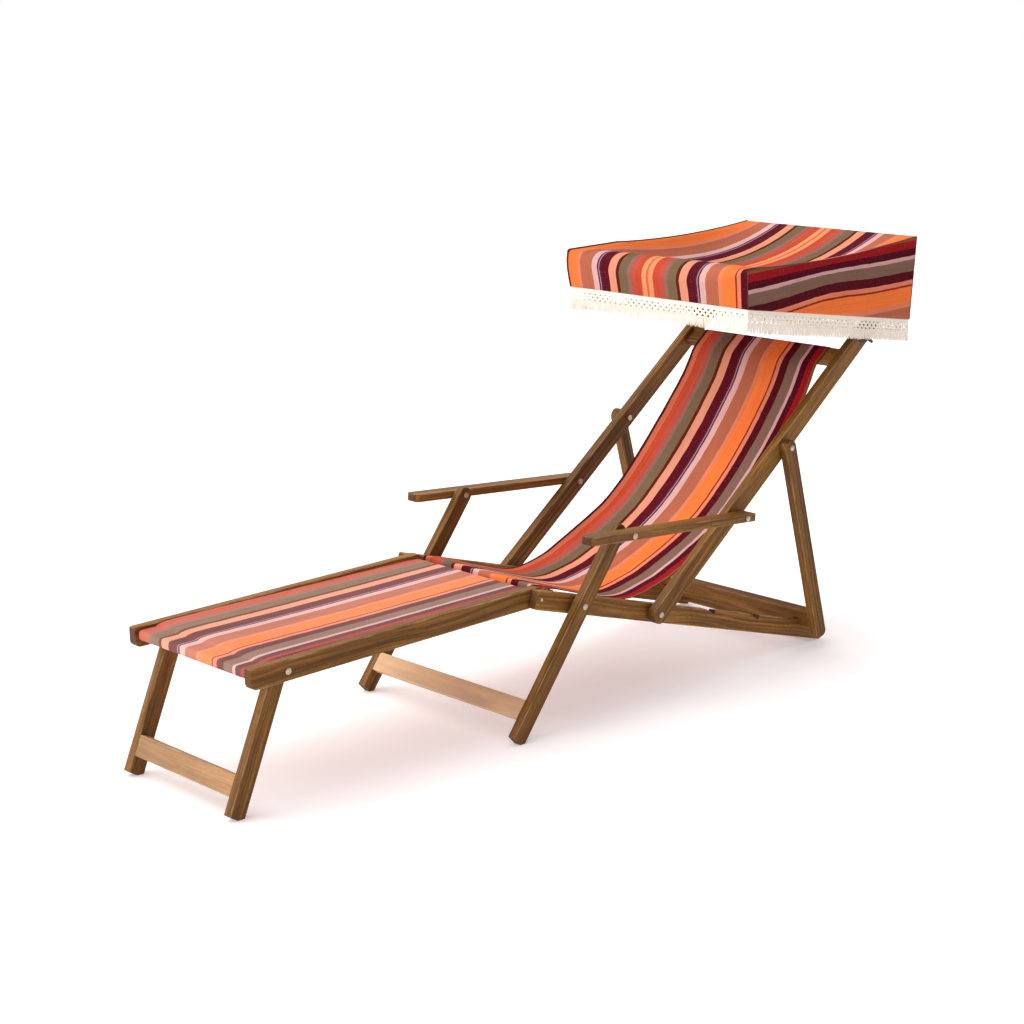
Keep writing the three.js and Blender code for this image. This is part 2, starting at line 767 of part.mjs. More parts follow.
// The main sling hangs freely from the head bar to the front bar of the seat
function addMainSling() {
  const headWrapShares = [
    [-0.2, -1, 0, 0],
    [0.5, -1, 0, 0],
    [1, -1, -1, 0],
    [1, -1, 0, 1],
    [1, 1, 0, -1],
    [1, 1, -1, 0],
    [0.3, 1, 0, 0],
    [-0.7, 1, 0, 0],
  ];
  const overHead = wrapAround(headCentre, stileDegrees, deepBarDepth, barThickness, headWrapShares);
  const frontWrapShares = [
    [1, -1, 0, 1],
    [1, 1, 0, -1],
    [1, 1, -1, 0],
    [0.2, 1, 0, 0],
    [-1, 1, 1, 0],
    [-1, 1, 0, -1],
    [-1, -1, 0, 1],
  ];
  const frontCentre = [frontBarY, frontBarZ];
  const frontDegrees = 90 + seatSlopeDegrees;
  const overFront = wrapAround(frontCentre, frontDegrees, barDepth, barThickness, frontWrapShares);
  const runY = frontBarY - headCentre[0];
  const runZ = frontBarZ - headCentre[1];
  const spots = slingSpanShares.map(([along, across]) => new THREE.Vector3(
    0,
    headCentre[0] + along * runY - across * runZ,
    headCentre[1] + along * runZ + across * runY,
  ));
  const curve = new THREE.CatmullRomCurve3(spots);
  const span = curve.getPoints(2 * spots.length).map((p) => [p.y, p.z]);
  const path = [...overHead, ...span, ...overFront];
  const first = overHead.length;
  const last = first + span.length - 1;
  const hollowAt = (i) => {
    if (i < first || i > last) return 0;
    return slingHollow * Math.sin(Math.PI * (i - first) / (last - first));
  };
  path.reverse();
  const count = path.length - 1;
  // The cloth is nailed a little off the middle, more so at the head.
  const shiftAt = (i) => slingFrontShift + (slingHeadShift - slingFrontShift) * i / count;
  const geometry = sheetGeometry(path, slingHalfWidth, slingColumns, (i) => hollowAt(count - i), shiftAt);
  addMesh('main_sling', geometry, canvas, 0, 0, 0, 0);
}

function addFootrestSling() {
  const footWrapShares = [
    [0.6, -1, 0, 0],
    [-0.2, -1, 0, 0],
    [-1, -1, 1, 0],
    [-1, -1, 0, 1],
    [-1, 1, 0, -1],
    [-1, 1, 1, 0],
    [-0.3, 1, 0, 0],
    [0.3, 1, 0, 0],
    [0.95, 1, 0, 0],
  ];
  const rearWrapShares = [
    [1, 1, 0, -1],
    [1, -1, 0, 1],
    [1, -1, -1, 0],
    [0, -1, 0, 0],
    [-1, -1, 1, 0],
    [-1, -1, 0, 1],
    [-1, 1, 0, -1],
    [-1, 1, 1, 0],
    [0, 1, 0, 0],
  ];
  const footCentre = [footBarY, footBarZ];
  const rearCentre = [footrestRearBarY, footrestRearBarZ];
  const overFoot = wrapAround(footCentre, footrestDegrees, barDepth, footBarThickness, footWrapShares);
  const overRear = wrapAround(rearCentre, 90 + footrestDegrees, barDepth, barThickness, rearWrapShares);
  const start = overFoot[overFoot.length - 1];
  const end = overRear[0];
  const span = [];
  for (let i = 1; i < footSlingRows; i += 1) {
    const t = i / footSlingRows;
    const sag = footSlingSag * Math.sin(Math.PI * t) ** footSlingSagPower;
    span.push([start[0] + (end[0] - start[0]) * t, start[1] + (end[1] - start[1]) * t - sag]);
  }
  const path = [...overFoot, ...span, ...overRear];
  const first = overFoot.length;
  const last = first + span.length - 1;
  const hollowAt = (i) => {
    if (i < first || i > last) return 0;
    return footSlingHollow * Math.sin(Math.PI * (i - first) / (last - first));
  };
  const geometry = sheetGeometry(path, footSlingHalfWidth, slingColumns, hollowAt, () => 0);
  addMesh('footrest_sling', geometry, canvas, 0, 0, 0, 0);
}

// Canopy plan: a rounded rectangle that is slightly narrower behind
function canopyOutline() {
  const points = [];
  const corner = canopyCorner;
  const cornerAt = (signX, signY) => {
    const half = signY < 0 ? canopyFrontHalf : canopyRearHalf;
    return [signX * (half - corner), signY < 0 ? canopyFrontY + corner : canopyRearY - corner];
  };
  const order = [[-1, -1], [1, -1], [1, 1], [-1, 1]];
  order.forEach(([signX, signY], k) => {
    const centre = cornerAt(signX, signY);
    const startAngle = Math.PI + k * Math.PI / 2;
    for (let i = 0; i <= canopyCornerSegments; i += 1) {
      const angle = startAngle + (i / canopyCornerSegments) * Math.PI / 2;
      points.push([centre[0] + corner * Math.cos(angle), centre[1] + corner * Math.sin(angle)]);
    }
    const segments = k % 2 === 0 ? canopyFrontSegments : canopySideSegments;
    const from = points[points.length - 1];
    const next = cornerAt(...order[(k + 1) % 4]);
    const endAngle = Math.PI + (k + 1) * Math.PI / 2;
    const to = [next[0] + corner * Math.cos(endAngle), next[1] + corner * Math.sin(endAngle)];
    for (let i = 1; i < segments; i += 1) {
      const t = i / segments;
      points.push([from[0] + (to[0] - from[0]) * t, from[1] + (to[1] - from[1]) * t]);
    }
  });
  return points;
}

function canopyShare(y) {
  return (y - canopyFrontY) / (canopyRearY - canopyFrontY);
}

function straightRoof(y) {
  return roofFrontZ + (roofRearZ - roofFrontZ) * canopyShare(y);
}

// The roof hangs a little along its side edges and deeply between them. In front of the front
// bar it rolls over into the valance, most of all in the middle.
function roofHeight([x, y]) {
  const barY = canopyFrontY + canopyFrontBarInset;
  const t = Math.max(0, (y - barY) / (canopyRearY - barY));
  const across = Math.min(1, Math.abs(x) / roofSagHalf);
  const slack = 1 - across ** 4;
  const sag = roofEdgeSag + roofMiddleSag * slack;
  const roll = Math.max(0, (barY - y) / canopyFrontBarInset);
  return straightRoof(y) - 4 * sag * t * (1 - t) - roofFoldDrop * slack * roll ** 2;
}

function hemHeight(y) {
  return hemFrontZ + (hemRearZ - hemFrontZ) * canopyShare(y);
}

// Point on the valance, from its top (share 0) to its hem (share 1), pushed in by a depth
function valancePoint([x, y], share, inward, around) {
  const lean = hemFrontShift + (hemRearShift - hemFrontShift) * canopyShare(y);
  const wave = canopyWave * share * Math.sin(2 * Math.PI * canopyWaveCount * around);
  const pull = hemInset * share + inward + wave;
  const middle = (canopyFrontY + canopyRearY) / 2;
  const halfX = canopyFrontHalf + (canopyRearHalf - canopyFrontHalf) * canopyShare(y);
  const halfY = (canopyRearY - canopyFrontY) / 2;
  const px = x * (1 - pull / halfX);
  const py = middle + (y - middle) * (1 - pull / halfY) + lean * share;
  return [px, py];
}

// Stitches rings of points into a closed skin; each cap is a fan on a middle point
function skinGeometry(rings, firstCap, lastCap) {
  const count = rings[0].length;
  const positions = rings.flat(2);
  const indices = [];
  for (let k = 0; k < rings.length - 1; k += 1) {
    for (let i = 0; i < count; i += 1) {
      const a = k * count + i;
      const b = k * count + (i + 1) % count;
      indices.push(a, a + count, b, b, a + count, b + count);
    }
  }
  const addCap = (point, ring, flipped) => {
    const centre = positions.length / 3;
    positions.push(...point);
    for (let i = 0; i < count; i += 1) {
      const a = ring * count + i;
      const b = ring * count + (i + 1) % count;
      if (flipped) indices.push(centre, b, a);
      else indices.push(centre, a, b);
    }
  };
  if (firstCap) addCap(firstCap, 0, false);
  if (lastCap) addCap(lastCap, rings.length - 1, true);
  if (!firstCap) {
    const top = (rings.length - 1) * count;
    for (let i = 0; i < count; i += 1) {
      const b = (i + 1) % count;
      indices.push(top + i, i, top + b, top + b, i, b);
    }
  }
  const geometry = new THREE.BufferGeometry();
  geometry.setAttribute('position', new THREE.Float32BufferAttribute(positions, 3));
  geometry.setIndex(indices);
  geometry.computeVertexNormals();
  return geometry;
}

// One cloth cover: sagging roof, rounded edge and valances on all four sides
function addCanopyCover() {
  const outline = canopyOutline();
  const middleY = (canopyFrontY + canopyRearY) / 2;
  const layer = (inward, down) => {
    const rings = [];
    for (const share of roofRingShares) {
      rings.push(outline.map(([x, y]) => {
        const spot = [x * share, middleY + (y - middleY) * share];
        return [...spot, roofHeight(spot) - down];
      }));
    }
    rings.push(outline.map((p, i) => {
      const [x, y] = valancePoint(p, 0, inward + canopyEdgeDrop, i / outline.length);
      return [x, y, roofHeight(p) - canopyEdgeDrop - down];
    }));
    for (const share of valanceRingShares) {
      rings.push(outline.map((p, i) => {
        const [x, y] = valancePoint(p, share, inward, i / outline.length);
        return [x, y, roofHeight(p) + (hemHeight(p[1]) - roofHeight(p)) * share];
      }));
    }
    return rings;
  };
  const outer = layer(0, 0);
  const inner = layer(clothThickness, clothThickness);
  const rings = [...outer, ...inner.reverse()];
  const topZ = roofHeight([0, middleY]);
  const top = [0, middleY, topZ];
  const under = [0, middleY, topZ - clothThickness];
  addMesh('canopy_cover', skinGeometry(rings, top, under), canvas, 0, 0, 0, 0);
}

// Lace band sewn inside the hem, its lower edge cut into tassels
function addFringe() {
  const outline = canopyOutline();
  const count = outline.length;
  const steps = outline.map((p, i) => {
    const next = outline[(i + 1) % count];
    return Math.hypot(next[0] - p[0], next[1] - p[1]);
  });
  const around = steps.reduce((sum, step) => sum + step, 0);
  const spots = [];
  for (let k = 0; k < 2 * fringeTassels; k += 1) {
    let left = around * k / (2 * fringeTassels);
    let i = 0;
    while (left > steps[i]) {
      left -= steps[i];
      i += 1;
    }
    spots.push([i, left / steps[i]]);
  }
  const start = clothThickness + fringeGap;
  // The band runs parallel to the cover, so both use the same straight pieces.
  const ringAt = (inward, rise, z) => spots.map(([i, part], k) => {
    const j = (i + 1) % count;
    const [a, b] = [i, j].map((at) => {
      const share = 1 - rise / (roofHeight(outline[at]) - hemHeight(outline[at][1]));
      return valancePoint(outline[at], share, inward, at / count);
    });
    const x = a[0] + (b[0] - a[0]) * part;
    const y = a[1] + (b[1] - a[1]) * part;
    return [x, y, hemHeight(outline[i][1] + (outline[j][1] - outline[i][1]) * part) + z(k)];
  });
  const levels = [
    [fringeOverlap, () => fringeOverlap],
    [0, () => 0],
    [0, (k) => (k % 2 === 1 ? -fringeDrop - fringeScallop : -fringeDrop)],
  ];
  const outer = levels.map(([rise, z]) => ringAt(start, rise, z));
  const inner = levels.map(([rise, z]) => ringAt(start + fringeThickness, rise, z));
  addMesh('canopy_fringe', skinGeometry([...outer, ...inner.reverse()], null, null), lace, 0, 0, 0, 0);
}

// Timber frame in the canopy, carried on steel plates that turn on the stiles
function addCanopyFrame() {
  const rise = roofRearZ - roofFrontZ;
  const run = canopyRearY - canopyFrontY;
  const degrees = THREE.MathUtils.radToDeg(Math.atan2(rise, run));
  const railStart = canopyFrontY + canopyRailInset;
  const railEnd = canopyRearY - canopyRailInset;
  const railLength = (railEnd - railStart) / Math.cos(radians(degrees));
  const railTop = straightRoof(railStart) - canopyRailDrop;
  const outline = roundedOutline(
    [[0, -canopyRailDepth], [railLength, -canopyRailDepth], [railLength, 0], [0, 0]],
    [barCorner, barCorner, barCorner, barCorner],
  );
  const rail = acrossChair(outline, canopyRailWidth, roofRailEdge, 3);
  const railX = stileOuter - canopyRailWidth / 2;
  addPair('canopy_rail', rail, timber, railX, railStart, railTop, degrees);
  const barHalf = stileOuter - canopyRailWidth;
  const rearBarInset = canopyRailInset + canopyBarWidth / 2;
  const names = ['canopy_front_bar', 'canopy_rear_bar'];
  [canopyFrontY + canopyFrontBarInset, canopyRearY - rearBarInset].forEach((y, i) => {
    const z = straightRoof(y) - canopyBarDrop - canopyBarHeight / 2;
    addBar(names[i], barHalf, canopyBarWidth, canopyBarHeight, y, z, degrees);
  });

  const x = stileOuter + clearance + bracketThickness / 2;
  const plateTop = straightRoof(canopyPivot[0]) - canopyRailDrop - canopyRailDepth / 3 - canopyPivot[1];
  const plate = roundedOutline(
    [
      [-bracketLobe, -bracketLobe],
      [bracketLobe, -bracketLobe],
      [bracketTopSpan / 2, plateTop],
      [-bracketTopSpan / 2, plateTop],
    ],
    [bracketLobe / 2, bracketLobe / 2, barCorner, barCorner],
  );
  plate.holes.push(hole(0, 0, boltHole));
  addPair('canopy_bracket', acrossChair(plate, bracketThickness, 0, 5), darkSteel, x, ...canopyPivot, 0);

  const outerFace = stileOuter + clearance + bracketThickness + clearance;
  const c = clearance;
  const bolt = [
    [stileInner - c - nutHeight, stileInner - c, boltHeadRadius],
    [stileInner - c, outerFace + wingNutThickness - c, boltRadius],
  ];
  addBoltPair('canopy_bolt', darkSteel, bolt, ...canopyPivot);
  const nut = new THREE.Shape();
  const open = Math.PI / 5;
  nut.absarc(0, 0, wingNutHub, open, Math.PI - open, false);
  nut.absarc(-wingNutReach + wingNutTip, 0, wingNutTip, Math.PI - open, Math.PI + open, false);
  nut.absarc(0, 0, wingNutHub, Math.PI + open, 2 * Math.PI - open, false);
  nut.absarc(wingNutReach - wingNutTip, 0, wingNutTip, -open, open, false);
  nut.holes.push(hole(0, 0, boltHole));
  const nutGeometry = acrossChair(nut, wingNutThickness, 0, 6);
  const nutX = outerFace + wingNutThickness / 2;
  addPair('canopy_wing_nut', nutGeometry, darkSteel, nutX, ...canopyPivot, wingNutDegrees);
}

addSeatRails();
addStiles();
addFrontLegs();
addArms();
addPropFrame();
addFootrest();
addFootrestLegs();
addHardware();
addMainSling();
addFootrestSling();
addCanopyFrame();
addCanopyCover();
addFringe();

// The frame's origin lies under the middle of the bounding box
const bounds = new THREE.Box3().setFromObject(group, true);
const middle = bounds.getCenter(new THREE.Vector3());
for (const mesh of group.children) {
  mesh.position.y -= middle.y;
}

export default group;
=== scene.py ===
"""Looks of a reclining deck chair with arms, a folding footrest and a fringed cloth canopy.

Shapes are written in millimetres, with y along the chair as in the chair's source before it is
centred: at() turns them into metres in the frame. Every material is made of nodes.
"""

import math

import bmesh
import bpy
import numpy as np
from mathutils import Matrix, Vector, noise


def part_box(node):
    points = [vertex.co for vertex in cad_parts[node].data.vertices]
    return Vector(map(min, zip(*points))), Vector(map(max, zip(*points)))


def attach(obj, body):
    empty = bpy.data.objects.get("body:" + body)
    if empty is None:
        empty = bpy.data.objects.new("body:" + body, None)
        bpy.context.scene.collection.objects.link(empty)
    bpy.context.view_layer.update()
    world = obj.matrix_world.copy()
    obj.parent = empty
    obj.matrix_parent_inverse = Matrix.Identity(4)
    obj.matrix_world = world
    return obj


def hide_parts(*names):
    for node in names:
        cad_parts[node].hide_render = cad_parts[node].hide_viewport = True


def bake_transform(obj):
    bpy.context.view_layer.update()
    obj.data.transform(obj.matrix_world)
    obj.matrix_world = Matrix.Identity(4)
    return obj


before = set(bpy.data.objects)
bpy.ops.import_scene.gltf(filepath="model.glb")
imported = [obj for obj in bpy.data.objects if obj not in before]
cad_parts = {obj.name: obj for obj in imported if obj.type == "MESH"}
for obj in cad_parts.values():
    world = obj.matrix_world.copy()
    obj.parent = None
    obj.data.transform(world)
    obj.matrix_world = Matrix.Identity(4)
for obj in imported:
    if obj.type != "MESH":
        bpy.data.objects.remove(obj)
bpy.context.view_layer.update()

MM = 0.001
LEG_PIVOT_Y = 547.5
bolt_low, bolt_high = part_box("leg_bolt_left")
MIDDLE = LEG_PIVOT_Y - (bolt_low.y + bolt_high.y) / 2 / MM


def at(x, y, z):
    return Vector((x * MM, (y - MIDDLE) * MM, z * MM))


def side_point(start, degrees, along, across):
    """Point of the side plane reached from start, along a direction and square to it"""
    c, s = math.cos(math.radians(degrees)), math.sin(math.radians(degrees))
    return np.array([start[0] + along * c - across * s, start[1] + along * s + across * c])


def linked(name, data):
    """New object in the scene"""
    made = bpy.data.objects.new(name, data)
    bpy.context.scene.collection.objects.link(made)
    return made


def clipped(value):
    return min(1, max(0, value))


def bell(value, middle, reach):
    """1 at the middle, dying out to both sides"""
    return math.exp(-(((value - middle) / reach) ** 2))


# ------------ camera and room

CAMERA_PLACE = (3384.51, -2727.31, 1602.68)
CAMERA_FORWARD = Vector((-0.69492, 0.67902, -0.23667)).normalized()
CAMERA_ROLL = math.radians(0.11)
FOCAL_PIXELS = 2070.07
FRAME_PIXELS = 1024
SENSOR_MM = 36
CLIP_END_M = 100

# Name, direction the light comes from, angle in degrees, strength and colour
SUNS = [
    ("overhead", (-0.46, -0.16, 0.88), 75, 1.55, (1.0, 0.985, 0.96)),
    ("front", (-0.42, -0.88, 0.20), 40, 1.35, (1.0, 0.985, 0.965)),
]
# The room's light is strongest from one side and fades toward the other
BRIGHT_SIDE = Vector((-0.80, -0.50, 0.33)).normalized()
FADE_REACH = 0.8
DIM_LIGHT, BRIGHT_LIGHT = 0.30, 1.25
FLOOR_REACH_M = 60
FLOOR_PAPER = {
    "Base Color": (0.88, 0.85, 0.855, 1),
    "Emission Color": (1.0, 0.96, 0.965, 1),
    "Emission Strength": 0.26,
    "Roughness": 0.9,
    "Specular IOR Level": 0.1,
}


def add_camera():
    level = CAMERA_FORWARD.cross(Vector((0, 0, 1))).normalized()
    upright = level.cross(CAMERA_FORWARD)
    right = level * math.cos(CAMERA_ROLL) + upright * math.sin(CAMERA_ROLL)
    up = upright * math.cos(CAMERA_ROLL) - level * math.sin(CAMERA_ROLL)
    data = bpy.data.cameras.new("camera")
    data.sensor_width = SENSOR_MM
    data.lens = FOCAL_PIXELS / FRAME_PIXELS * SENSOR_MM
    data.clip_end = CLIP_END_M
    camera = linked("camera", data)
    turn = Matrix((right, up, -CAMERA_FORWARD)).transposed().to_4x4()
    camera.matrix_world = Matrix.Translation(at(*CAMERA_PLACE)) @ turn
    bpy.context.scene.camera = camera


def add_sun(name, towards, angle, strength, colour):
    """Broad even light from one direction, as from a large soft box"""
    data = bpy.data.lights.new(name, "SUN")
    data.angle = math.radians(angle)
    data.energy = strength
    data.color = colour
    facing = Vector(towards).to_track_quat("Z", "Y").to_matrix().to_4x4()
    linked(name, data).matrix_world = facing


def add_world():
    """White room for the camera; its light is strong from the left and weak from the right"""
    world = bpy.data.worlds.new("studio")
    bpy.context.scene.world = world
    s = Shading(world, "Background")
    turned = (s.place("Generated"), BRIGHT_SIDE)
    side = s.add("ShaderNodeVectorMath", turned, operation="DOT_PRODUCT").outputs["Value"]
    level = s.span(side, -FADE_REACH, FADE_REACH, DIM_LIGHT, BRIGHT_LIGHT, smooth=True)
    seen = s.add("ShaderNodeLightPath", ()).outputs["Is Camera Ray"]
    strength = s.add("ShaderNodeMix", {0: seen, 2: level, 3: 1.0}).outputs[0]
    s.surface({"Strength": strength, "Color": (1.0, 1.0, 1.0, 1)})


def add_room():
    add_world()
    for sun in SUNS:
        add_sun(*sun)
    mesh = bpy.data.meshes.new("floor")
    reach = FLOOR_REACH_M
    corners = [(-reach, -reach, 0), (reach, -reach, 0), (reach, reach, 0), (-reach, reach, 0)]
    mesh.from_pydata(corners, [], [(0, 1, 2, 3)])
    paper = Shading("floor_paper")
    paper.surface(FLOOR_PAPER)
    mesh.materials.append(paper.material)
    floor = linked("floor", mesh)
    bpy.context.scene.view_settings.view_transform = "Standard"


# ------------ materials

def linear(red, green, blue):
    """Linear colour of an 8-bit display colour"""
    def one(value):
        v = value / 255
        return v / 12.92 if v <= 0.04045 else ((v + 0.055) / 1.055) ** 2.4
    return (one(red), one(green), one(blue), 1)


class Shading:
    """Short names for building the nodes of one material, or of the world"""

    def __init__(self, owner, shader="Principled BSDF"):
        if isinstance(owner, str):
            owner = bpy.data.materials.new(owner)
        owner.use_nodes = True
        self.material = owner
        self.tree = owner.node_tree
        self.shader = self.tree.nodes[shader]

    def feed(self, node, values):
        """Links or sets the inputs of a node, each by its name or number"""
        for key, value in values.items():
            if isinstance(value, bpy.types.NodeSocket):
                self.tree.links.new(value, node.inputs[key])
            else:
                node.inputs[key].default_value = value

    def add(self, kind, values, **settings):
        """New node, its inputs given in their order, or by name or number"""
        node = self.tree.nodes.new(kind)
        for key, value in settings.items():
            setattr(node, key, value)
        self.feed(node, values if isinstance(values, dict) else dict(enumerate(values)))
        return node

    def surface(self, values):
        self.feed(self.shader, values)

    def place(self, output="Object"):
        return self.add("ShaderNodeTexCoord", ()).outputs[output]

    def math(self, operation, a, b=0.0):
        return self.add("ShaderNodeMath", (a, b), operation=operation).outputs[0]

    def times(self, a, b):
        return self.math("MULTIPLY", a, b)

    def minus(self, a, b):
        return self.math("SUBTRACT", a, b)

    def plus(self, first, *others):
        total = first
        for other in others:
            total = self.math("ADD", total, other)
        return total

    def weighed(self, *pairs):
        """Sum of values, each times its share"""
        return self.plus(*(self.times(value, share) for value, share in pairs))

    def span(self, value, low, high, to_low=0.0, to_high=1.0, smooth=False):
        kind = "SMOOTHSTEP" if smooth else "LINEAR"
        values = (value, low, high, to_low, to_high)
        return self.add("ShaderNodeMapRange", values, interpolation_type=kind).outputs[0]

    def mix(self, factor, a, b, blend="MIX"):
        values = {"Factor": factor, 6: a, 7: b}
        return self.add("ShaderNodeMix", values, data_type="RGBA", blend_type=blend).outputs[2]

    def shaded(self, colour, *light):
        """Colour multiplied by one light for all of it, or by a light for each part"""
        light = light * 3 if len(light) == 1 else light
        return self.mix(1.0, colour, self.combine(*light), "MULTIPLY")

    def ramp(self, factor, stops, interpolation="LINEAR"):
        node = self.add("ShaderNodeValToRGB", (factor,))
        ramp = node.color_ramp
        ramp.interpolation = interpolation
        ramp.elements[0].position, ramp.elements[0].color = stops[0]
        ramp.elements[1].position, ramp.elements[1].color = stops[1]
        for position, colour in stops[2:]:
            ramp.elements.new(position).color = colour
        return node.outputs[0]

    def combine(self, *parts):
        return self.add("ShaderNodeCombineXYZ", parts).outputs[0]

    def separate(self, vector):
        return self.add("ShaderNodeSeparateXYZ", (vector,)).outputs

    def rated(self, vector, rates):
        """Vector with each of its parts times a rate of its own"""
        parts = self.separate(vector)
        return self.combine(*(self.times(part, rate) for part, rate in zip(parts, rates)))

    def turned(self, vector, degrees, centre=(0, 0, 0)):
        """Parts of a vector as seen from a member turned in the side plane"""
        values = {"Vector": vector, "Location": centre, "Rotation": (math.radians(degrees), 0, 0)}
        node = self.add("ShaderNodeMapping", values, vector_type="TEXTURE")
        return self.separate(node.outputs[0])

    def noise(self, vector, detail=3.0, roughness=0.55):
        values = {"Vector": vector, "Scale": 1.0, "Detail": detail, "Roughness": roughness}
        return self.add("ShaderNodeTexNoise", values).outputs["Fac"]

    def bump(self, height, distance, strength):
        values = {"Strength": strength, "Distance": distance, "Height": height}
        return self.add("ShaderNodeBump", values).outputs["Normal"]


# Display colours of the oiled hardwood, from its pores to its palest streaks
WOOD_STOPS = [
    (0.0, linear(69, 41, 15)),
    (0.34, linear(102, 65, 26)),
    (0.52, linear(129, 87, 38)),
    (0.70, linear(152, 107, 51)),
    (1.0, linear(184, 138, 76)),
]
PORE_COLOUR = linear(60, 36, 17)
RUBBED_COLOUR = linear(205, 168, 122)
# Pale tan of the painted highlight on the leg bars
PAINTED_HIGHLIGHT_COLOUR = linear(226, 190, 156)
END_STOPS = [(0.35, linear(58, 36, 18)), (0.65, linear(104, 70, 38))]
# Figure of the wood: waves per metre along and across the grain, detail, and at times roughness
WOOD_LAYERS = {
    "drift": (3.2, 9, 2.0),
    "broad": (2.2, 34, 2.0),
    "streaks": (7, 330, 3.0, 0.62),
    "fibres": (22, 1500, 2.0, 0.6),
    "pores": (85, 2300, 1.0, 0.4),
    "rubbed": (14, 60),
    "patches": (5, 16),
}
# Growth rings: waves per metre out from the heart and along the grain, and the heart's drift
RING_RATE, RING_ALONG, RING_DRIFT = 260, 1.1, 0.020
HEART_ACROSS = 0.06
HEART_THROUGH = (0.035, 0.07)
END_DOT_RATE = 1400
# Width of the worn band along an arris, and of its full wear
WORN_DEPTH, WORN_FACE, WORN_FULL = 0.0032, 0.0030, 0.0006


def wood_material(
    name, centre, degrees, half_depth, half_thickness, seed, crosswise=False, tone=1.0, pale=0.0
):
    """Oiled hardwood with its grain along one member, worn arrises and darker end grain"""
    s = Shading(name)
    x, y, z = s.turned(s.place(), degrees, centre)
    nx, ny, _ = s.turned(s.place("Normal"), degrees)
    along, across, through, end = (x, y, z, nx) if crosswise else (y, z, x, ny)
    rng = np.random.default_rng(seed)
    shift = [float(v) for v in rng.uniform(-3, 3, 3)]

    def layer(key):
        per_along, per_across, *settings = WOOD_LAYERS[key]
        axes = ((along, per_along), (across, per_across), (through, per_across))
        spots = (s.plus(s.times(axis, rate), move * 7) for (axis, rate), move in zip(axes, shift))
        return s.noise(s.combine(*spots), *settings)

    # Growth rings: distance from a heart outside the board, bent along its length
    drift = s.times(s.minus(layer("drift"), 0.5), RING_DRIFT)
    heart_across = float(rng.uniform(-HEART_ACROSS, HEART_ACROSS))
    heart_through = float(rng.choice([-1, 1]) * rng.uniform(*HEART_THROUGH))
    du = s.plus(across, heart_across, drift)
    dv = s.plus(through, heart_through, drift)
    radius = s.math("SQRT", s.plus(s.times(du, du), s.times(dv, dv)))
    outward = s.combine(s.times(radius, RING_RATE), shift[0], s.times(along, RING_ALONG))
    rings = s.noise(outward, 2.5, 0.6)
    streaks, fibres = layer("streaks"), layer("fibres")
    filled = s.minus(1.0, s.span(layer("pores"), 0.28, 0.40))
    figure = s.weighed((rings, 0.42), (layer("broad"), 0.34), (streaks, 0.30), (fibres, 0.14))
    colour = s.ramp(s.span(figure, 0.36, 0.86), WOOD_STOPS)
    colour = s.mix(filled, colour, PORE_COLOUR)

    # Worn arrises, where hands and feet have rubbed the oil off
    bands = [
        s.span(s.math("ABSOLUTE", axis), half - band, half - WORN_FULL, smooth=True)
        for axis, half, band in (
            (across, half_depth, WORN_DEPTH), (through, half_thickness, WORN_FACE)
        )
    ]
    rubbed = s.span(layer("rubbed"), 0.42, 0.66)
    worn = s.times(s.times(*bands), rubbed)
    colour = s.mix(s.times(worn, 0.55), colour, RUBBED_COLOUR)

    # End grain drinks more oil and shows its pores as dots
    sawn = s.span(s.math("ABSOLUTE", end), 0.75, 0.9)
    section = s.combine(s.times(across, END_DOT_RATE), s.times(through, END_DOT_RATE), shift[1])
    colour = s.mix(sawn, colour, s.ramp(s.noise(section, 2.0), END_STOPS))
    if pale:
        # Painted highlight: strong low light on a bar, painted as a mix toward a pale tan
        colour = s.mix(pale, colour, PAINTED_HIGHLIGHT_COLOUR)

    # Hand dirt and water marks in large soft patches
    patches = layer("patches")
    colour = s.shaded(colour, s.span(patches, 0.3, 0.7, 0.80 * tone, 1.14 * tone))
    rough = s.span(s.weighed((patches, 0.5), (streaks, 0.5)), 0.3, 0.7, 0.42, 0.62)
    height = s.minus(s.weighed((streaks, 0.6), (fibres, 0.4)), s.times(filled, 0.5))
    s.surface({
        "Base Color": colour, "Roughness": rough, "Specular IOR Level": 0.14,
        "Normal": s.bump(height, 0.0006, 0.5),
    })
    return s.material


# Stripes: distance in millimetres from the cloth's mirror line, and yarn colour
STRIPES = [
    (0, (214, 100, 54)), (3, (240, 150, 104)), (18, (196, 74, 48)), (37, (188, 82, 68)),
    (55, (140, 106, 94)), (65, (122, 97, 73)), (94, (92, 34, 18)), (104, (228, 149, 120)),
    (129, (92, 16, 30)), (155, (84, 30, 56)), (160, (176, 128, 138)), (163, (80, 44, 66)),
    (169, (222, 172, 168)), (187, (182, 102, 77)), (227, (224, 128, 94)), (238, (246, 122, 60)),
    (279, (146, 42, 14)), (285, (226, 129, 100)), (297, (84, 13, 26)), (319, (128, 96, 82)),
    (350, (206, 160, 156)), (359, (82, 12, 28)), (377, (154, 24, 32)), (397, (138, 84, 50)),
    (406, (70, 16, 24)),
]
CLOTH_REACH = 425
# Painted shade along the sling's far edge: stripe coordinates in metres up to which each band
# reaches, and its colour
EDGE_SHADE_BANDS = [(0.018, linear(206, 104, 78)), (0.003, linear(78, 20, 22))]
# Pale pink of the painted sheen on the footrest sling
PAINTED_SHEEN_COLOUR = linear(240, 206, 192)
SLUB_COLOUR = linear(240, 214, 190)
# Unevenness of the canvas: waves per metre across the stripes and along them, depth in the
# noise, detail, and at times roughness
CANVAS_LAYERS = {
    "ragged": (300, 420, 0.0, 1.0),
    "loose": (40, 26, 4.0, 2.0),
    "warp": (1500, 9, 3.0, 2.0, 0.7),
    "weft": (7, 1300, 7.0, 2.0, 0.7),
    "slubs": (60, 900, 5.0, 1.0),
    "cloudy": (9, 7, 1.0),
    "streaks": (330, 5, 9.0, 3.0, 0.65),
}
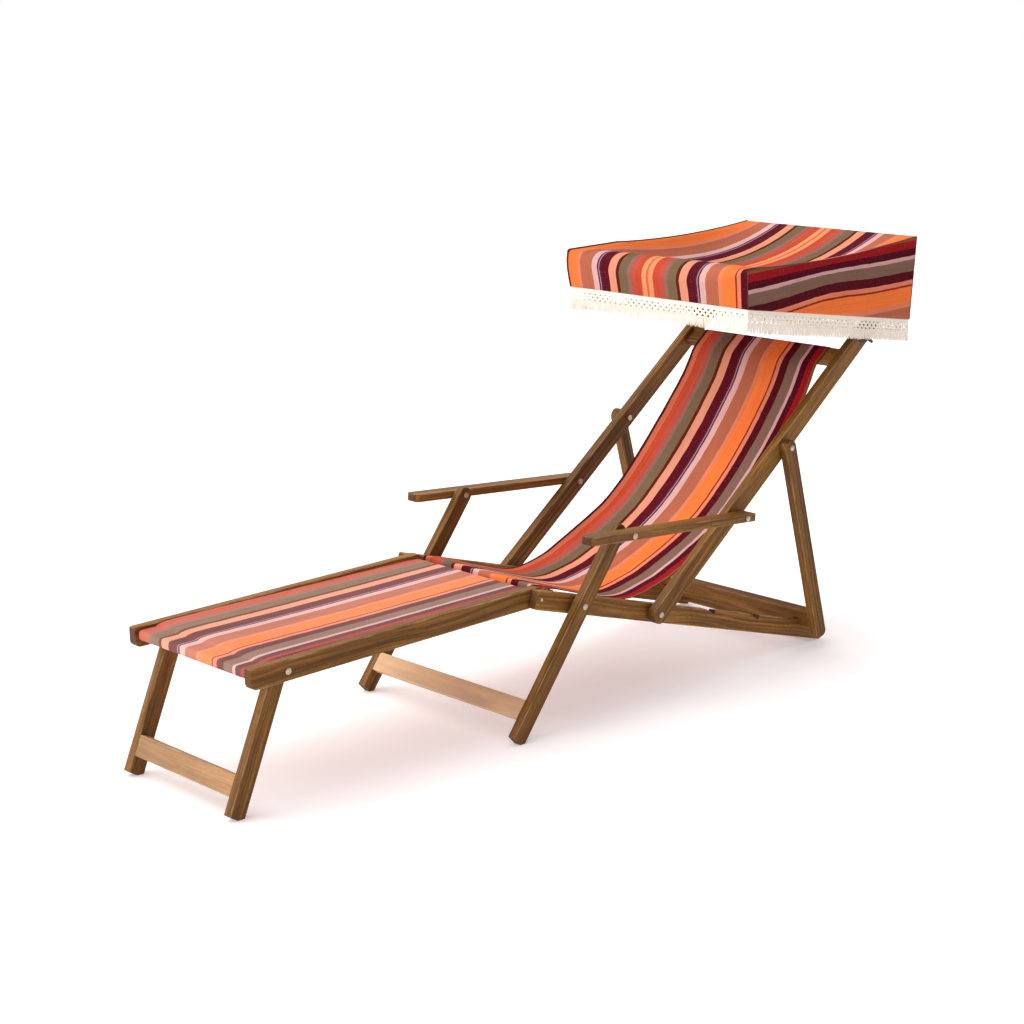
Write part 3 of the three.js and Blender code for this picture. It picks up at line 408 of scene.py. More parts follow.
# How far the edge of a stripe wanders, and the spacing of picks and ends, in metres
RAGGED_EDGE, LOOSE_EDGE = 0.0014, 0.0040
PICK_PITCH, END_PITCH = 0.0011, 0.0009


def canvas_material(name, painted_edge_shade=False, fade=1.0, painted_sheen=0.0):
    """Striped cotton canvas; UV is in metres from the stripes' mirror line and along the threads
    """
    s = Shading(name)
    across, along, _ = s.separate(s.add("ShaderNodeUVMap", (), uv_map="UVMap").outputs[0])

    def layer(key):
        per_across, per_along, depth, *settings = CANVAS_LAYERS[key]
        spot = s.combine(s.times(across, per_across), s.times(along, per_along), depth)
        return s.noise(spot, *settings)

    # The edge between two colours wanders by a yarn
    ragged = s.times(s.minus(layer("ragged"), 0.5), RAGGED_EDGE)
    loose = s.times(s.minus(layer("loose"), 0.5), LOOSE_EDGE)
    wander = s.plus(across, s.plus(ragged, loose))
    stops = [(start / CLOTH_REACH, linear(*colour)) for start, colour in STRIPES]
    spot = s.times(s.math("ABSOLUTE", wander), 1000 / CLOTH_REACH)
    colour = s.ramp(spot, stops, "CONSTANT")
    if painted_edge_shade:
        # Painted shade along the turned far edge: darker bands, darkest at the very edge
        for reach, shade_colour in EDGE_SHADE_BANDS:
            colour = s.mix(s.math("LESS_THAN", wander, reach), colour, shade_colour)
    if painted_sheen:
        # Painted sheen: the colour is mixed toward a pale pink for the strong glancing light on
        # the cloth
        colour = s.mix(painted_sheen, colour, PAINTED_SHEEN_COLOUR)

    warp, weft = layer("warp"), layer("weft")
    yarns = s.weighed((warp, 0.30), (weft, 0.22), (layer("cloudy"), 0.20))
    yarns = s.plus(yarns, s.times(s.minus(layer("streaks"), 0.5), 0.42))
    # fade is a painted light level for each cloth: lower on the canopy than on the slings,
    # standing in for how the light falls on them
    colour = s.shaded(colour, s.span(yarns, 0.18, 0.54, 0.74 * fade, 1.20 * fade))
    slubs = s.span(layer("slubs"), 0.66, 0.78)
    colour = s.mix(s.times(slubs, 0.16), colour, SLUB_COLOUR)

    # Plain weave: ribs over every pick and every end
    rib = s.math("SINE", s.times(along, 2 * math.pi / PICK_PITCH))
    end = s.math("SINE", s.times(across, 2 * math.pi / END_PITCH))
    weave = s.times(rib, end)
    # Painted light and shade of the weave: lighter on the raised crossings, darker between them
    colour = s.shaded(colour, s.span(weave, -1, 1, 0.93, 1.05))
    height = s.weighed((weave, 0.35), (s.plus(warp, weft), 0.5))
    s.surface({
        "Base Color": colour, "Roughness": 0.88, "Specular IOR Level": 0.04,
        "Normal": s.bump(height, 0.0004, 0.45),
    })
    return s.material


LACE_STOPS = [(0.3, linear(227, 214, 199)), (0.7, linear(248, 240, 230))]
TWIST_RATE, STAIN_RATE = 700, 18


def lace_material():
    """Off-white cotton thread with a fine twist and a few faint stains"""
    s = Shading("lace_cotton")
    place = s.place()

    def grown(rate):
        values = {0: place, "Scale": rate}
        return s.add("ShaderNodeVectorMath", values, operation="SCALE").outputs[0]

    twist = s.noise(grown(TWIST_RATE), 2.0)
    stain = s.span(s.noise(grown(STAIN_RATE)), 0.35, 0.75, 1.0, 0.93)
    s.surface({
        "Base Color": s.shaded(s.ramp(twist, LACE_STOPS), stain, stain, s.times(stain, 0.985)),
        "Roughness": 0.92, "Specular IOR Level": 0.2, "Sheen Weight": 0.25,
        "Subsurface Weight": 0.15, "Subsurface Radius": (0.003, 0.0028, 0.0022),
        "Subsurface Scale": 1.0, "Normal": s.bump(twist, 0.0005, 0.5),
    })
    return s.material


SEAM_STOPS = [(0.3, linear(58, 26, 20)), (0.7, linear(96, 52, 34))]
SEAM_RATE = 900


def seam_material():
    """Dark rolled canvas of the canopy's seams"""
    s = Shading("seam_canvas")
    twist = s.noise(s.rated(s.place(), (SEAM_RATE,) * 3), 2.0)
    s.surface({
        "Base Color": s.ramp(twist, SEAM_STOPS), "Roughness": 0.9,
        "Normal": s.bump(twist, 0.0004, 0.5),
    })
    return s.material


# Name, colour, colour where dull, roughness and share of tarnish
ZINC = ("zinc_plate", (0.52, 0.45, 0.36, 1), (0.24, 0.19, 0.14, 1), 0.34, 0.8)
DARK_STEEL = ("dark_steel", (0.055, 0.05, 0.047, 1), (0.12, 0.07, 0.045, 1), 0.38, 0.5)
SPOT_RATES = (420, 420, 420)
TURNING_RATES = (2600, 300, 300)


def metal_material(name, base, dull_colour, roughness, tarnish):
    """Plated or painted steel with turning marks and dull spots"""
    s = Shading(name)
    place = s.place()
    spots = s.noise(s.rated(place, SPOT_RATES))
    lines = s.noise(s.rated(place, TURNING_RATES), 2.0)
    dull = s.span(spots, 0.45, 0.70)
    uneven = s.weighed((dull, 0.6), (lines, 0.4))
    s.surface({
        "Base Color": s.mix(s.times(dull, tarnish), base, dull_colour),
        "Metallic": 0.9, "Roughness": s.span(uneven, 0.0, 1.0, roughness, roughness + 0.25),
        "Normal": s.bump(s.plus(lines, spots), 0.0002, 0.3),
    })
    return s.material


def dress(node, material):
    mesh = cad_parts[node].data
    mesh.materials.clear()
    mesh.materials.append(material)


# ------------ timber

# Members in the side plane: direction in degrees, half depth, half thickness, tone. The arms'
# direction is found from their solids.
TIMBER = {
    "seat_rail": (-15.6, 22.5, 11, 1.22),
    "back_stile": (37.59, 22.5, 11, 0.9),
    "front_leg": (52.94, 19.5, 11, 0.82),
    "arm": (None, 9.7, 21, 0.97),
    "prop_strut": (-73.5, 19, 11, 0.86),
    "footrest_rail": (1.03, 22.5, 11, 1.04),
    "footrest_leg": (67.79, 20, 11, 1.02),
    "canopy_rail": (2.4, 13, 7.5, 0.95),
}
# Bars across the chair: turn of their section, half depth, half thickness, tone. The higher tones
# of the two leg bars are painted highlight.
BARS = {
    "seat_front_bar": (74.4, 21, 11, 1.0),
    "seat_rear_bar": (-15.6, 17, 11, 1.1),
    "head_bar": (37.59, 23.5, 11, 1.0),
    "front_leg_bar": (52.94, 23.5, 11, 1.2),
    "prop_bar": (-73.5, 25, 11, 1.0),
    "foot_bar": (1.03, 21, 9, 1.0),
    "footrest_rear_bar": (91.03, 21, 11, 1.0),
    "footrest_leg_bar": (67.79, 23.5, 11, 1.15),
    "canopy_front_bar": (2.4, 9, 16, 1.0),
    "canopy_rear_bar": (2.4, 9, 16, 1.0),
}
# Painted highlight: how far each leg bar's colour is mixed toward a pale tan, for the strong low
# light on it
PAINTED_HIGHLIGHT_BARS = {"front_leg_bar": 0.50, "footrest_leg_bar": 0.20}
# Half depth and half thickness
SPACER_HALVES = (12, 5)
FIRST_WOOD_SEED = 11


def member_axis(node):
    """Centre of a long member and its direction in degrees, from its corners in the side plane"""
    co = np.array([v.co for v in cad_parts[node].data.vertices])
    low, high = co.min(0), co.max(0)
    _, _, axes = np.linalg.svd(co[:, 1:] - co[:, 1:].mean(0), full_matrices=False)
    ahead = axes[0] if axes[0][0] > 0 else -axes[0]
    square = np.array([-ahead[1], ahead[0]])
    along, aside = ((way.min() + way.max()) / 2 for way in (co[:, 1:] @ ahead, co[:, 1:] @ square))
    centre = ahead * along + square * aside
    degrees = math.degrees(math.atan2(ahead[1], ahead[0]))
    return Vector(((low[0] + high[0]) / 2, centre[0], centre[1])), degrees


def middle_of(node):
    low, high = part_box(node)
    return (low + high) / 2


def dress_timber():
    seed = FIRST_WOOD_SEED

    def dress_in_wood(node, centre, degrees, depth, thickness, **looks):
        nonlocal seed
        halves = (depth * MM, thickness * MM)
        dress(node, wood_material(f"wood_{node}", centre, degrees, *halves, seed, **looks))
        seed += 1

    for stem, (degrees, depth, thickness, tone) in TIMBER.items():
        for side in ("left", "right"):
            node = f"{stem}_{side}"
            centre, found = member_axis(node)
            turn = found if degrees is None else degrees
            dress_in_wood(node, centre, turn, depth, thickness, tone=tone)
    for node, (degrees, depth, thickness, tone) in BARS.items():
        dress_in_wood(
            node, middle_of(node), degrees, depth, thickness,
            crosswise=True, tone=tone, pale=PAINTED_HIGHLIGHT_BARS.get(node, 0.0),
        )
    for stem in ("leg_spacer", "stile_spacer"):
        for side in ("left", "right"):
            node = f"{stem}_{side}"
            dress_in_wood(node, middle_of(node), 0, *SPACER_HALVES)


def dress_metal():
    zinc, dark = metal_material(*ZINC), metal_material(*DARK_STEEL)
    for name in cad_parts:
        if name.startswith(("canopy_bolt", "canopy_bracket", "canopy_wing_nut")):
            dress(name, dark)
        elif "bolt" in name or "stud" in name or "_pin" in name:
            dress(name, zinc)


# ------------ cloth helpers

CLOTH_THICKNESS = 1.2
# Cloth round a bar: distance from the wood, and how far a corner is cut off
WRAP_GAP, WRAP_CORNER = 1.45, 3.5
CORNER_CUTS = 2
SPLINE_STEPS = 16


def new_object(name, vertices, faces, uvs, material, smooth_angle=None):
    """Mesh from metres; uvs is one pair for every face corner, or None"""
    mesh = bpy.data.meshes.new(name)
    mesh.from_pydata([tuple(v) for v in vertices], [], faces)
    if uvs is not None:
        layer = mesh.uv_layers.new(name="UVMap")
        layer.data.foreach_set("uv", np.asarray(uvs, np.float32).ravel())
    mesh.polygons.foreach_set("use_smooth", [True] * len(mesh.polygons))
    if smooth_angle is not None:
        mesh.set_sharp_from_angle(angle=math.radians(smooth_angle))
    mesh.materials.append(material)
    return linked(name, mesh)


def thicken(piece, offset):
    """Gives a sheet the cloth's thickness, as part of its mesh"""
    solid = piece.modifiers.new("thickness", "SOLIDIFY")
    solid.thickness = CLOTH_THICKNESS * MM
    solid.offset = offset
    solid.use_even_offset = False
    bpy.context.view_layer.update()
    graph = bpy.context.evaluated_depsgraph_get()
    done = bpy.data.meshes.new_from_object(piece.evaluated_get(graph))
    piece.modifiers.clear()
    old = piece.data
    name = old.name
    piece.data = done
    bpy.data.meshes.remove(old)
    done.name = name


def wrapped(centre, degrees, depth, thickness, turns):
    """Path round a bar's section. A turn is a share of its depth and of its thickness, and the
    way in which the corner is cut."""
    u, v = depth / 2 + WRAP_GAP, thickness / 2 + WRAP_GAP
    return eased([
        side_point(centre, degrees, a * u + p * WRAP_CORNER, b * v + q * WRAP_CORNER)
        for a, b, p, q in turns
    ])


def eased(path):
    """Cuts the corners of a path, keeping its ends"""
    points = np.asarray(path, float)
    for _ in range(CORNER_CUTS):
        cut = [points[0]]
        for a, b in zip(points[:-1], points[1:]):
            cut += [a * 0.75 + b * 0.25, a * 0.25 + b * 0.75]
        cut.append(points[-1])
        points = np.array(cut)
    return points


def lengths(points):
    """Way along a path at each of its points"""
    steps = np.linalg.norm(np.diff(points, axis=0), axis=1)
    return np.concatenate([[0], np.cumsum(steps)])


def spline(points, count):
    """Smooth curve through points, as evenly spaced places"""
    p = np.asarray(points, float)
    p = np.vstack([2 * p[0] - p[1], p, 2 * p[-1] - p[-2]])
    out = []
    for i in range(1, len(p) - 2):
        a, b, c, d = p[i - 1:i + 3]
        for t in np.linspace(0, 1, SPLINE_STEPS, endpoint=False):
            out.append(0.5 * (2 * b + (c - a) * t + (2 * a - 5 * b + 4 * c - d) * t * t
                              + (3 * b - a - 3 * c + d) * t ** 3))
    out.append(p[-2])
    out = np.array(out)
    run = lengths(out)
    spots = np.linspace(0, run[-1], count)
    return np.stack([np.interp(spots, run, out[:, k]) for k in (0, 1)], 1)


def unit(vectors):
    return vectors / np.linalg.norm(vectors, axis=1)[:, None]


def square_to(ahead):
    """Directions turned by a quarter, in a plane"""
    return np.stack([-ahead[:, 1], ahead[:, 0]], 1)


class Route:
    """Side path of a sling: round one bar, over the free span and round the other bar"""

    def __init__(self, before, span, after):
        self.points = np.vstack([before, span, after])
        self.first, self.last = len(before), len(before) + len(span) - 1
        self.run = lengths(self.points)
        self.total = self.run[-1]

    def share(self, i):
        return clipped((i - self.first) / (self.last - self.first))

    def is_free(self, i):
        return 1 if self.first < i < self.last else 0

    def flutes(self, i, share, at_first, at_last):
        """Flutes pulled by the nails of both bars; each end gives height, count, phase, reach"""
        lift = 0
        for row, (height, count, phase, reach) in ((self.first, at_first), (self.last, at_last)):
            away = abs(self.run[i] - self.run[row])
            lift += height * math.sin(share * math.pi * count + phase) * math.exp(-away / reach)
        return lift


def cloth_sheet(name, path, columns, place, across_uv, material):
    """Grid along a side path. place(i, share) gives the offset across the chair and along the
    path's normal; across_uv(i, share) gives the stripe coordinate in millimetres."""
    normal = square_to(unit(np.gradient(path, axis=0)))
    run = lengths(path)
    vertices, coordinates = [], []
    for i in range(len(path)):
        for share in np.linspace(-1, 1, columns + 1):
            x, lift = place(i, share)
            y, z = path[i] + normal[i] * lift
            vertices.append(at(x, y, z))
            coordinates.append((across_uv(i, share) * MM, run[i] * MM))
    faces = []
    stride = columns + 1
    for i in range(len(path) - 1):
        for j in range(columns):
            a, b = i * stride + j, (i + 1) * stride + j
            faces.append((a, a + 1, b + 1, b))
    uvs = [coordinates[k] for face in faces for k in face]
    piece = new_object(name, vertices, faces, uvs, material)
    thicken(piece, 0)
    return piece


def wrinkle(x, y, z, size):
    return noise.noise(Vector((x / size, y / size, z / size)))


# ------------ main sling

STILE_PIVOT = (809, 208.4)
STILE_DEGREES = 37.59
HEAD_ON_STILE = 871
HEAD_CENTRE = side_point(STILE_PIVOT, STILE_DEGREES, HEAD_ON_STILE, 0)
FRONT_CENTRE = np.array([486.0, 301.0])
FRONT_DEGREES = 74.4
SLING_HALF = 205
SLING_HOLLOW = 9
SLING_ROWS, SLING_COLUMNS = 150, 56
# Side profile as shares of the line from the head bar to the front bar
SLING_SHARES = [
    (0.0484, 0.002), (0.0909, 0.0223), (0.1406, 0.0491), (0.2287, 0.0931), (0.3178, 0.1299),
    (0.3956, 0.1557), (0.4667, 0.1728), (0.5333, 0.1788), (0.5862, 0.18), (0.6291, 0.1788),
    (0.6718, 0.1764), (0.7134, 0.169), (0.7491, 0.1616), (0.7794, 0.1518), (0.8094, 0.136),
    (0.8375, 0.1145), (0.8665, 0.0897), (0.8954, 0.0644), (0.924, 0.0388), (0.9524, 0.0132),
    (0.9711, -0.0028),
]
# How much nearer to the sitter the middle lies than the far edge, by share of the span
TWIST = [
    (0, -2), (0.1, -4.5), (0.2, -8), (0.3, -7), (0.4, 0), (0.5, 4), (0.6, 11), (0.7, 12),
    (0.85, 4), (1, 0),
]
TWIST_MIDDLE = 0.35
# How far the cloth lies toward the right stile: below the head bar, at the front bar, and how
# much less it does at the nails of the head bar, over this share of the span
SHIFT_HEAD, SHIFT_FRONT, SHIFT_NAILED, NAILED_REACH = 17, 5, 15, 0.055
# Bulge of the far edge: its width, place and reach along the span, and the share it starts from
BULGE, BULGE_AT, BULGE_REACH, BULGE_FROM = 9, 0.58, 0.09, 0.6
SLING_STRIPE_HALF, SLING_STRIPE_START = 206, 5


def add_main_sling():
    over_head = wrapped(HEAD_CENTRE, STILE_DEGREES, 47, 22, [
        (-0.2, -1, 0, 0), (0.5, -1, 0, 0), (1, -1, -1, 0), (1, -1, 0, 1), (1, 1, 0, -1),
        (1, 1, -1, 0), (0.3, 1, 0, 0), (-0.7, 1, 0, 0),
    ])
    over_front = wrapped(FRONT_CENTRE, FRONT_DEGREES, 42, 22, [
        (1, -1, 0, 1), (1, 1, 0, -1), (1, 1, -1, 0), (0.2, 1, 0, 0), (-1, 1, 1, 0),
        (-1, 1, 0, -1), (-1, -1, 0, 1),
    ])
    run = FRONT_CENTRE - HEAD_CENTRE
    square = np.array([-run[1], run[0]])
    spots = [HEAD_CENTRE + run * a + square * b for a, b in SLING_SHARES]
    span = spline([over_head[-1], *spots, over_front[0]], SLING_ROWS)[1:-1]
    route = Route(over_head, span, over_front)
    twist_at, twist_by = zip(*TWIST)

    def place(i, share):
        s = route.share(i)
        shift = SHIFT_HEAD * (1 - s) ** 0.8 + SHIFT_FRONT * s
        shift -= SHIFT_NAILED * bell(s, 0, NAILED_REACH)
        shift -= BULGE * max(0, (-share - BULGE_FROM) / 0.4) * bell(s, BULGE_AT, BULGE_REACH)
        free = math.sin(math.pi * s)
        hollow = SLING_HOLLOW * free * (1 - share * share)
        far = clipped(-share) ** 1.5
        twist = np.interp(s, twist_at, twist_by) * (TWIST_MIDDLE - far) * min(1, free * 3)
        nails = route.flutes(i, share, (1.1, 11, 0, 55), (0.8, 10, 1, 50))
        soft = 1.6 * free * wrinkle(SLING_HALF * share, route.run[i], 3, 85)
        hem = 0.7 if abs(share) > 0.955 else 0
        edge = 1.2 * free * wrinkle(route.run[i], 17 * share, 9, 60)
        lift = -(hollow - twist) + (nails + soft + hem) * route.is_free(i)
        return SLING_HALF * share + shift + edge, lift

    # Laid from the front bar up, so that the sheet's normal points toward the sitter
    last_row = len(route.points) - 1
    piece = cloth_sheet(
        "main_sling_cloth", route.points[::-1].copy(), SLING_COLUMNS,
        lambda i, share: place(last_row - i, share),
        lambda i, share: SLING_STRIPE_HALF * (share + 1) - SLING_STRIPE_START,
        canvas_material("canvas_main", painted_edge_shade=True, fade=0.97),
    )
    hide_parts("main_sling")
    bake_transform(piece)


# ------------ footrest sling

FOOT_CENTRE = np.array([-324.0, 303.0])
FOOT_REAR_CENTRE = np.array([441.0, 302.0])
FOOT_DEGREES = 1.03
FOOT_HALF = 188
FOOT_ROWS, FOOT_COLUMNS = 120, 52
# The cloth stands proud of the low foot bar and runs almost level with the rails' tops
FOOT_RISE, FOOT_RISE_WITHIN = 6.1, 0.018
FOOT_HOLLOW, FOOT_NEAR_RISE = 3, 0.5
FOOT_STRIPE_START, FOOT_STRIPE_DRIFT = 21, 9


def add_footrest_sling():
    over_foot = wrapped(FOOT_CENTRE, FOOT_DEGREES, 42, 18, [
        (0.6, -1, 0, 0), (-0.2, -1, 0, 0), (-1, -1, 1, 0), (-1, -1, 0, 1), (-1, 1, 0, -1),
        (-1, 1, 1, 0), (-0.3, 1, 0, 0), (0.3, 1, 0, 0), (0.95, 1, 0, 0),
    ])
    over_rear = wrapped(FOOT_REAR_CENTRE, 90 + FOOT_DEGREES, 42, 22, [
        (1, 1, 0, -1), (1, -1, 0, 1), (1, -1, -1, 0), (0, -1, 0, 0), (-1, -1, 1, 0),
        (-1, -1, 0, 1), (-1, 1, 0, -1), (-1, 1, 1, 0), (0, 1, 0, 0),
    ])
    start, end = over_foot[-1], over_rear[0]

    def rise(t):
        return FOOT_RISE * (1 - math.exp(-t / FOOT_RISE_WITHIN)) * (1 - t) ** 0.8

    shares = np.linspace(0, 1, FOOT_ROWS)[1:-1]
    span = [start + (end - start) * t + np.array([0, rise(t)]) for t in shares]
    route = Route(over_foot, span, over_rear)

    def place(i, share):
        free = math.sin(math.pi * route.share(i))
        hollow = FOOT_HOLLOW * free * (1 - share * share)
        near = FOOT_NEAR_RISE * free * max(0, share)
        nails = route.flutes(i, share, (0.9, 9, 0, 60), (0.7, 8, 2, 60))
        soft = 0.5 * free * wrinkle(FOOT_HALF * share, route.run[i], 31, 75)
        hem = 0.6 if abs(share) > 0.95 else 0
        lift = -hollow + near + (nails + soft + hem) * route.is_free(i)
        edge = 0.8 * free * wrinkle(route.run[i], 5 * share, 77, 55)
        return FOOT_HALF * share + edge, lift

    def stripe(i, share):
        drift = FOOT_STRIPE_DRIFT * route.share(i)
        return FOOT_HALF * share + FOOT_HALF + FOOT_STRIPE_START + drift

    material = canvas_material("canvas_foot", fade=0.97, painted_sheen=0.12)
    piece = cloth_sheet(
        "footrest_sling_cloth", route.points, FOOT_COLUMNS, place, stripe, material
    )
    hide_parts("footrest_sling")
    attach(piece, "footrest")


# ------------ canopy

CANOPY_FRONT, CANOPY_REAR = 1068.0, 1764.0
FRONT_HALF, REAR_HALF = 291, 281
ROOF_FRONT_Z, ROOF_RISE = 1003, 29
HEM_FRONT_Z, HEM_FALL = 909, 92
# Soft roll at the front of the roof, and the radius at its edges and its rear
FOLD_BACK, FOLD_RISE, EDGE_ROUND, REAR_ROUND = 49, 46, 5, 3
CANOPY_COLUMNS, FOLD_ROWS, ROOF_ROWS, VALANCE_ROWS = 64, 12, 72, 22
# Sag of the roof at its edges, in the middle and at the far edge; where along the chair it is
# deepest, its reach, and where the far edge starts to sag
EDGE_SAG, MIDDLE_SAG, FAR_SAG = 12.5, 52, 11
SAG_AT, SAG_REACH, FAR_SAG_FROM = 1432, 320, 1245
# How far the roof's front corner on the left, and the valances there, are pulled out
CORNER_PULL, HEM_PULL, CORNER_REACH = 5, 6, 170
# How far the hem leans inward; height and length of its waves, height of its wrinkles, and the
# distance from a corner over which they grow
VALANCE_LEAN, WAVE, WAVE_LENGTH, WRINKLE, WAVE_START = 1.5, 1.5, 47.0, 2.4, 45
# A side valance waves no farther inward than this, so that its lace clears the wing nuts
SIDE_WAVE_LIMIT = 0.6
ROOF_STRIPE_SHIFT, SIDE_STRIPE_TOP = 26.5, 408
YARN_PER_ROW = 9.0
# Bow of the stripes on the right and left side valances: middle, height and reach
STRIPE_BOWS = {1: (1400, 12), -1: (1310, 8)}
BOW_REACH = 150
# Radii of the seams; the far one narrows toward the rear
FAR_SEAM = (4.0, 2.2)
ROOF_SEAM, CORNER_SEAM, LEADING_SEAM = 1.0, 1.1, 2.8


def canopy_share(y):
    return (y - CANOPY_FRONT) / (CANOPY_REAR - CANOPY_FRONT)


def chord(y):
    return ROOF_FRONT_Z + ROOF_RISE * canopy_share(y)


def hem_z(y):
    return HEM_FRONT_Z - HEM_FALL * canopy_share(y)


def half_at(y):
    return FRONT_HALF + (REAR_HALF - FRONT_HALF) * canopy_share(y)


def lean_at(y):
    """How far the hem hangs behind the roof's edge"""
    return 9 - 23 * canopy_share(y)


def slack(share):
    """How freely the roof hangs: 0 at its edges and 1 in the middle"""
    return 1 - abs(share) ** 3.6


def roof_sag(share, y):
    """Drop of the roof below the straight line from its front to its rear"""
    eta = min(1, abs(y - SAG_AT) / SAG_REACH)
    edge = EDGE_SAG * (1 - eta * eta)
    if share < 0:
        late = max(0, (y - FAR_SAG_FROM) / (CANOPY_REAR - FAR_SAG_FROM))
        far_edge = FAR_SAG * math.sin(math.pi * min(1, late)) ** 0.8
        edge += (far_edge - edge) * clipped((-share - 0.45) / 0.5)
    middle = MIDDLE_SAG * (1 - min(1, abs(share) * 1.035) ** 4) * (1 - eta ** 2.2)
    folds = 1.8 * wrinkle(share * 290, y * 0.35, 5, 62) * (1 - eta ** 4) * (1 - share ** 4)
    return edge + middle + folds


def far_corner(share, y):
    """1 at the front corner on the left, which is pulled out of line, and 0 away from it"""
    return clipped((-share - 0.72) / 0.28) * max(0, 1 - (y - CANOPY_FRONT) / CORNER_REACH)


def stripe_bow(sign, y):
    """How far the stripes of a side valance rise in the middle"""
    middle, height = STRIPE_BOWS[sign]
    return height * bell(y, middle, BOW_REACH)


def canopy_profile(share):
    """Path over the roof at one share of its width, from front to rear"""
    free = slack(share)
    back = EDGE_ROUND + (FOLD_BACK - EDGE_ROUND) * free
    rise = EDGE_ROUND + (FOLD_RISE - EDGE_ROUND) * free
    rows = []
    for k in range(FOLD_ROWS):
        angle = math.pi / 2 * k / FOLD_ROWS
        y = CANOPY_FRONT + back * (1 - math.cos(angle))
        z = chord(CANOPY_FRONT + back) - rise * (1 - math.sin(angle))
        rows.append((y, z))
    start, end = CANOPY_FRONT + back, CANOPY_REAR - REAR_ROUND
    for k in range(ROOF_ROWS + 1):
        y = start + (end - start) * k / ROOF_ROWS
        near_front = clipped((y - start) / 70)
        rows.append((y, chord(y) - roof_sag(share, y) * near_front))
    for angle in (math.pi / 6, math.pi / 3, math.pi / 2):
        drop = REAR_ROUND * (1 - math.cos(angle))
        rows.append((end + REAR_ROUND * math.sin(angle), chord(end) - drop))
    return rows


def valance_point(x, y, z, inward_x, inward_y, depth, around):
    """Point of a valance below a point of the roof's edge, at a share of its depth"""
    wave = WAVE * math.sin(around / WAVE_LENGTH) + WRINKLE * wrinkle(around, depth * 60, 11, 70)
    if inward_x:
        wave = min(wave, SIDE_WAVE_LIMIT)
    pull = VALANCE_LEAN * depth + wave * depth ** 1.3
    return (
        x + inward_x * pull,
        y + lean_at(y) * depth + inward_y * pull,
        z + (hem_z(y) - z) * depth,
    )


def corner_fade(distance):
    return clipped(distance / WAVE_START)


def hem_pull(share, y, depth):
    return HEM_PULL * far_corner(share, y) * math.sin(math.pi * depth ** 0.75)


def add_grid(mesh, rows, flipped=False):
    """Faces between rows of (place, stripe coordinates), all in millimetres"""
    layer = mesh.loops.layers.uv.verify()
    if flipped:
        rows = [row[::-1] for row in rows]
    made = [[(mesh.verts.new(at(*place)), uv) for place, uv in row] for row in rows]
    for upper, lower in zip(made[:-1], made[1:]):
        for j in range(len(upper) - 1):
            spots = (upper[j], upper[j + 1], lower[j + 1], lower[j])
            face = mesh.faces.new([vertex for vertex, _ in spots])
            face.smooth = True
            for loop, (_, uv) in zip(face.loops, spots):
                loop[layer].uv = (uv[0] * MM, uv[1] * MM)


def end_valance(top, shares, depth, sign):
    """Row of the front (-1) or rear (1) valance, at a share of its depth"""
    row = []
    shift = ROOF_STRIPE_SHIFT if sign < 0 else 0.0
    for (x, y, z), share in zip(top, shares):
        fade = corner_fade((1 - abs(share)) * half_at(y))
        px, py, pz = valance_point(x, y, z, 0, -sign * fade, depth, sign * 900 + x)
        px -= math.copysign(VALANCE_LEAN * depth, x) * abs(share)
        px -= hem_pull(share, y, depth)
        row.append(((px, py, pz), (x + shift, -depth * abs(z - hem_z(y)))))
    return row


def side_valance(top, depth, sign):
    """Row of the left (-1) or right (1) valance, whose stripes run along the chair"""
    row = []
    for x, y, z in top:
        fade = corner_fade(min(y - CANOPY_FRONT, CANOPY_REAR - y))
        px, py, pz = valance_point(x, y, z, -sign * fade, 0, depth, sign * 2000 + y)
        px -= sign * VALANCE_LEAN * depth * (1 - fade)
        px -= hem_pull(sign, y, depth)
        fallen = chord(y) - pz + stripe_bow(sign, y) * min(1, 2.5 * depth)
        row.append(((px, py, pz), (SIDE_STRIPE_TOP - fallen, y)))
    return row


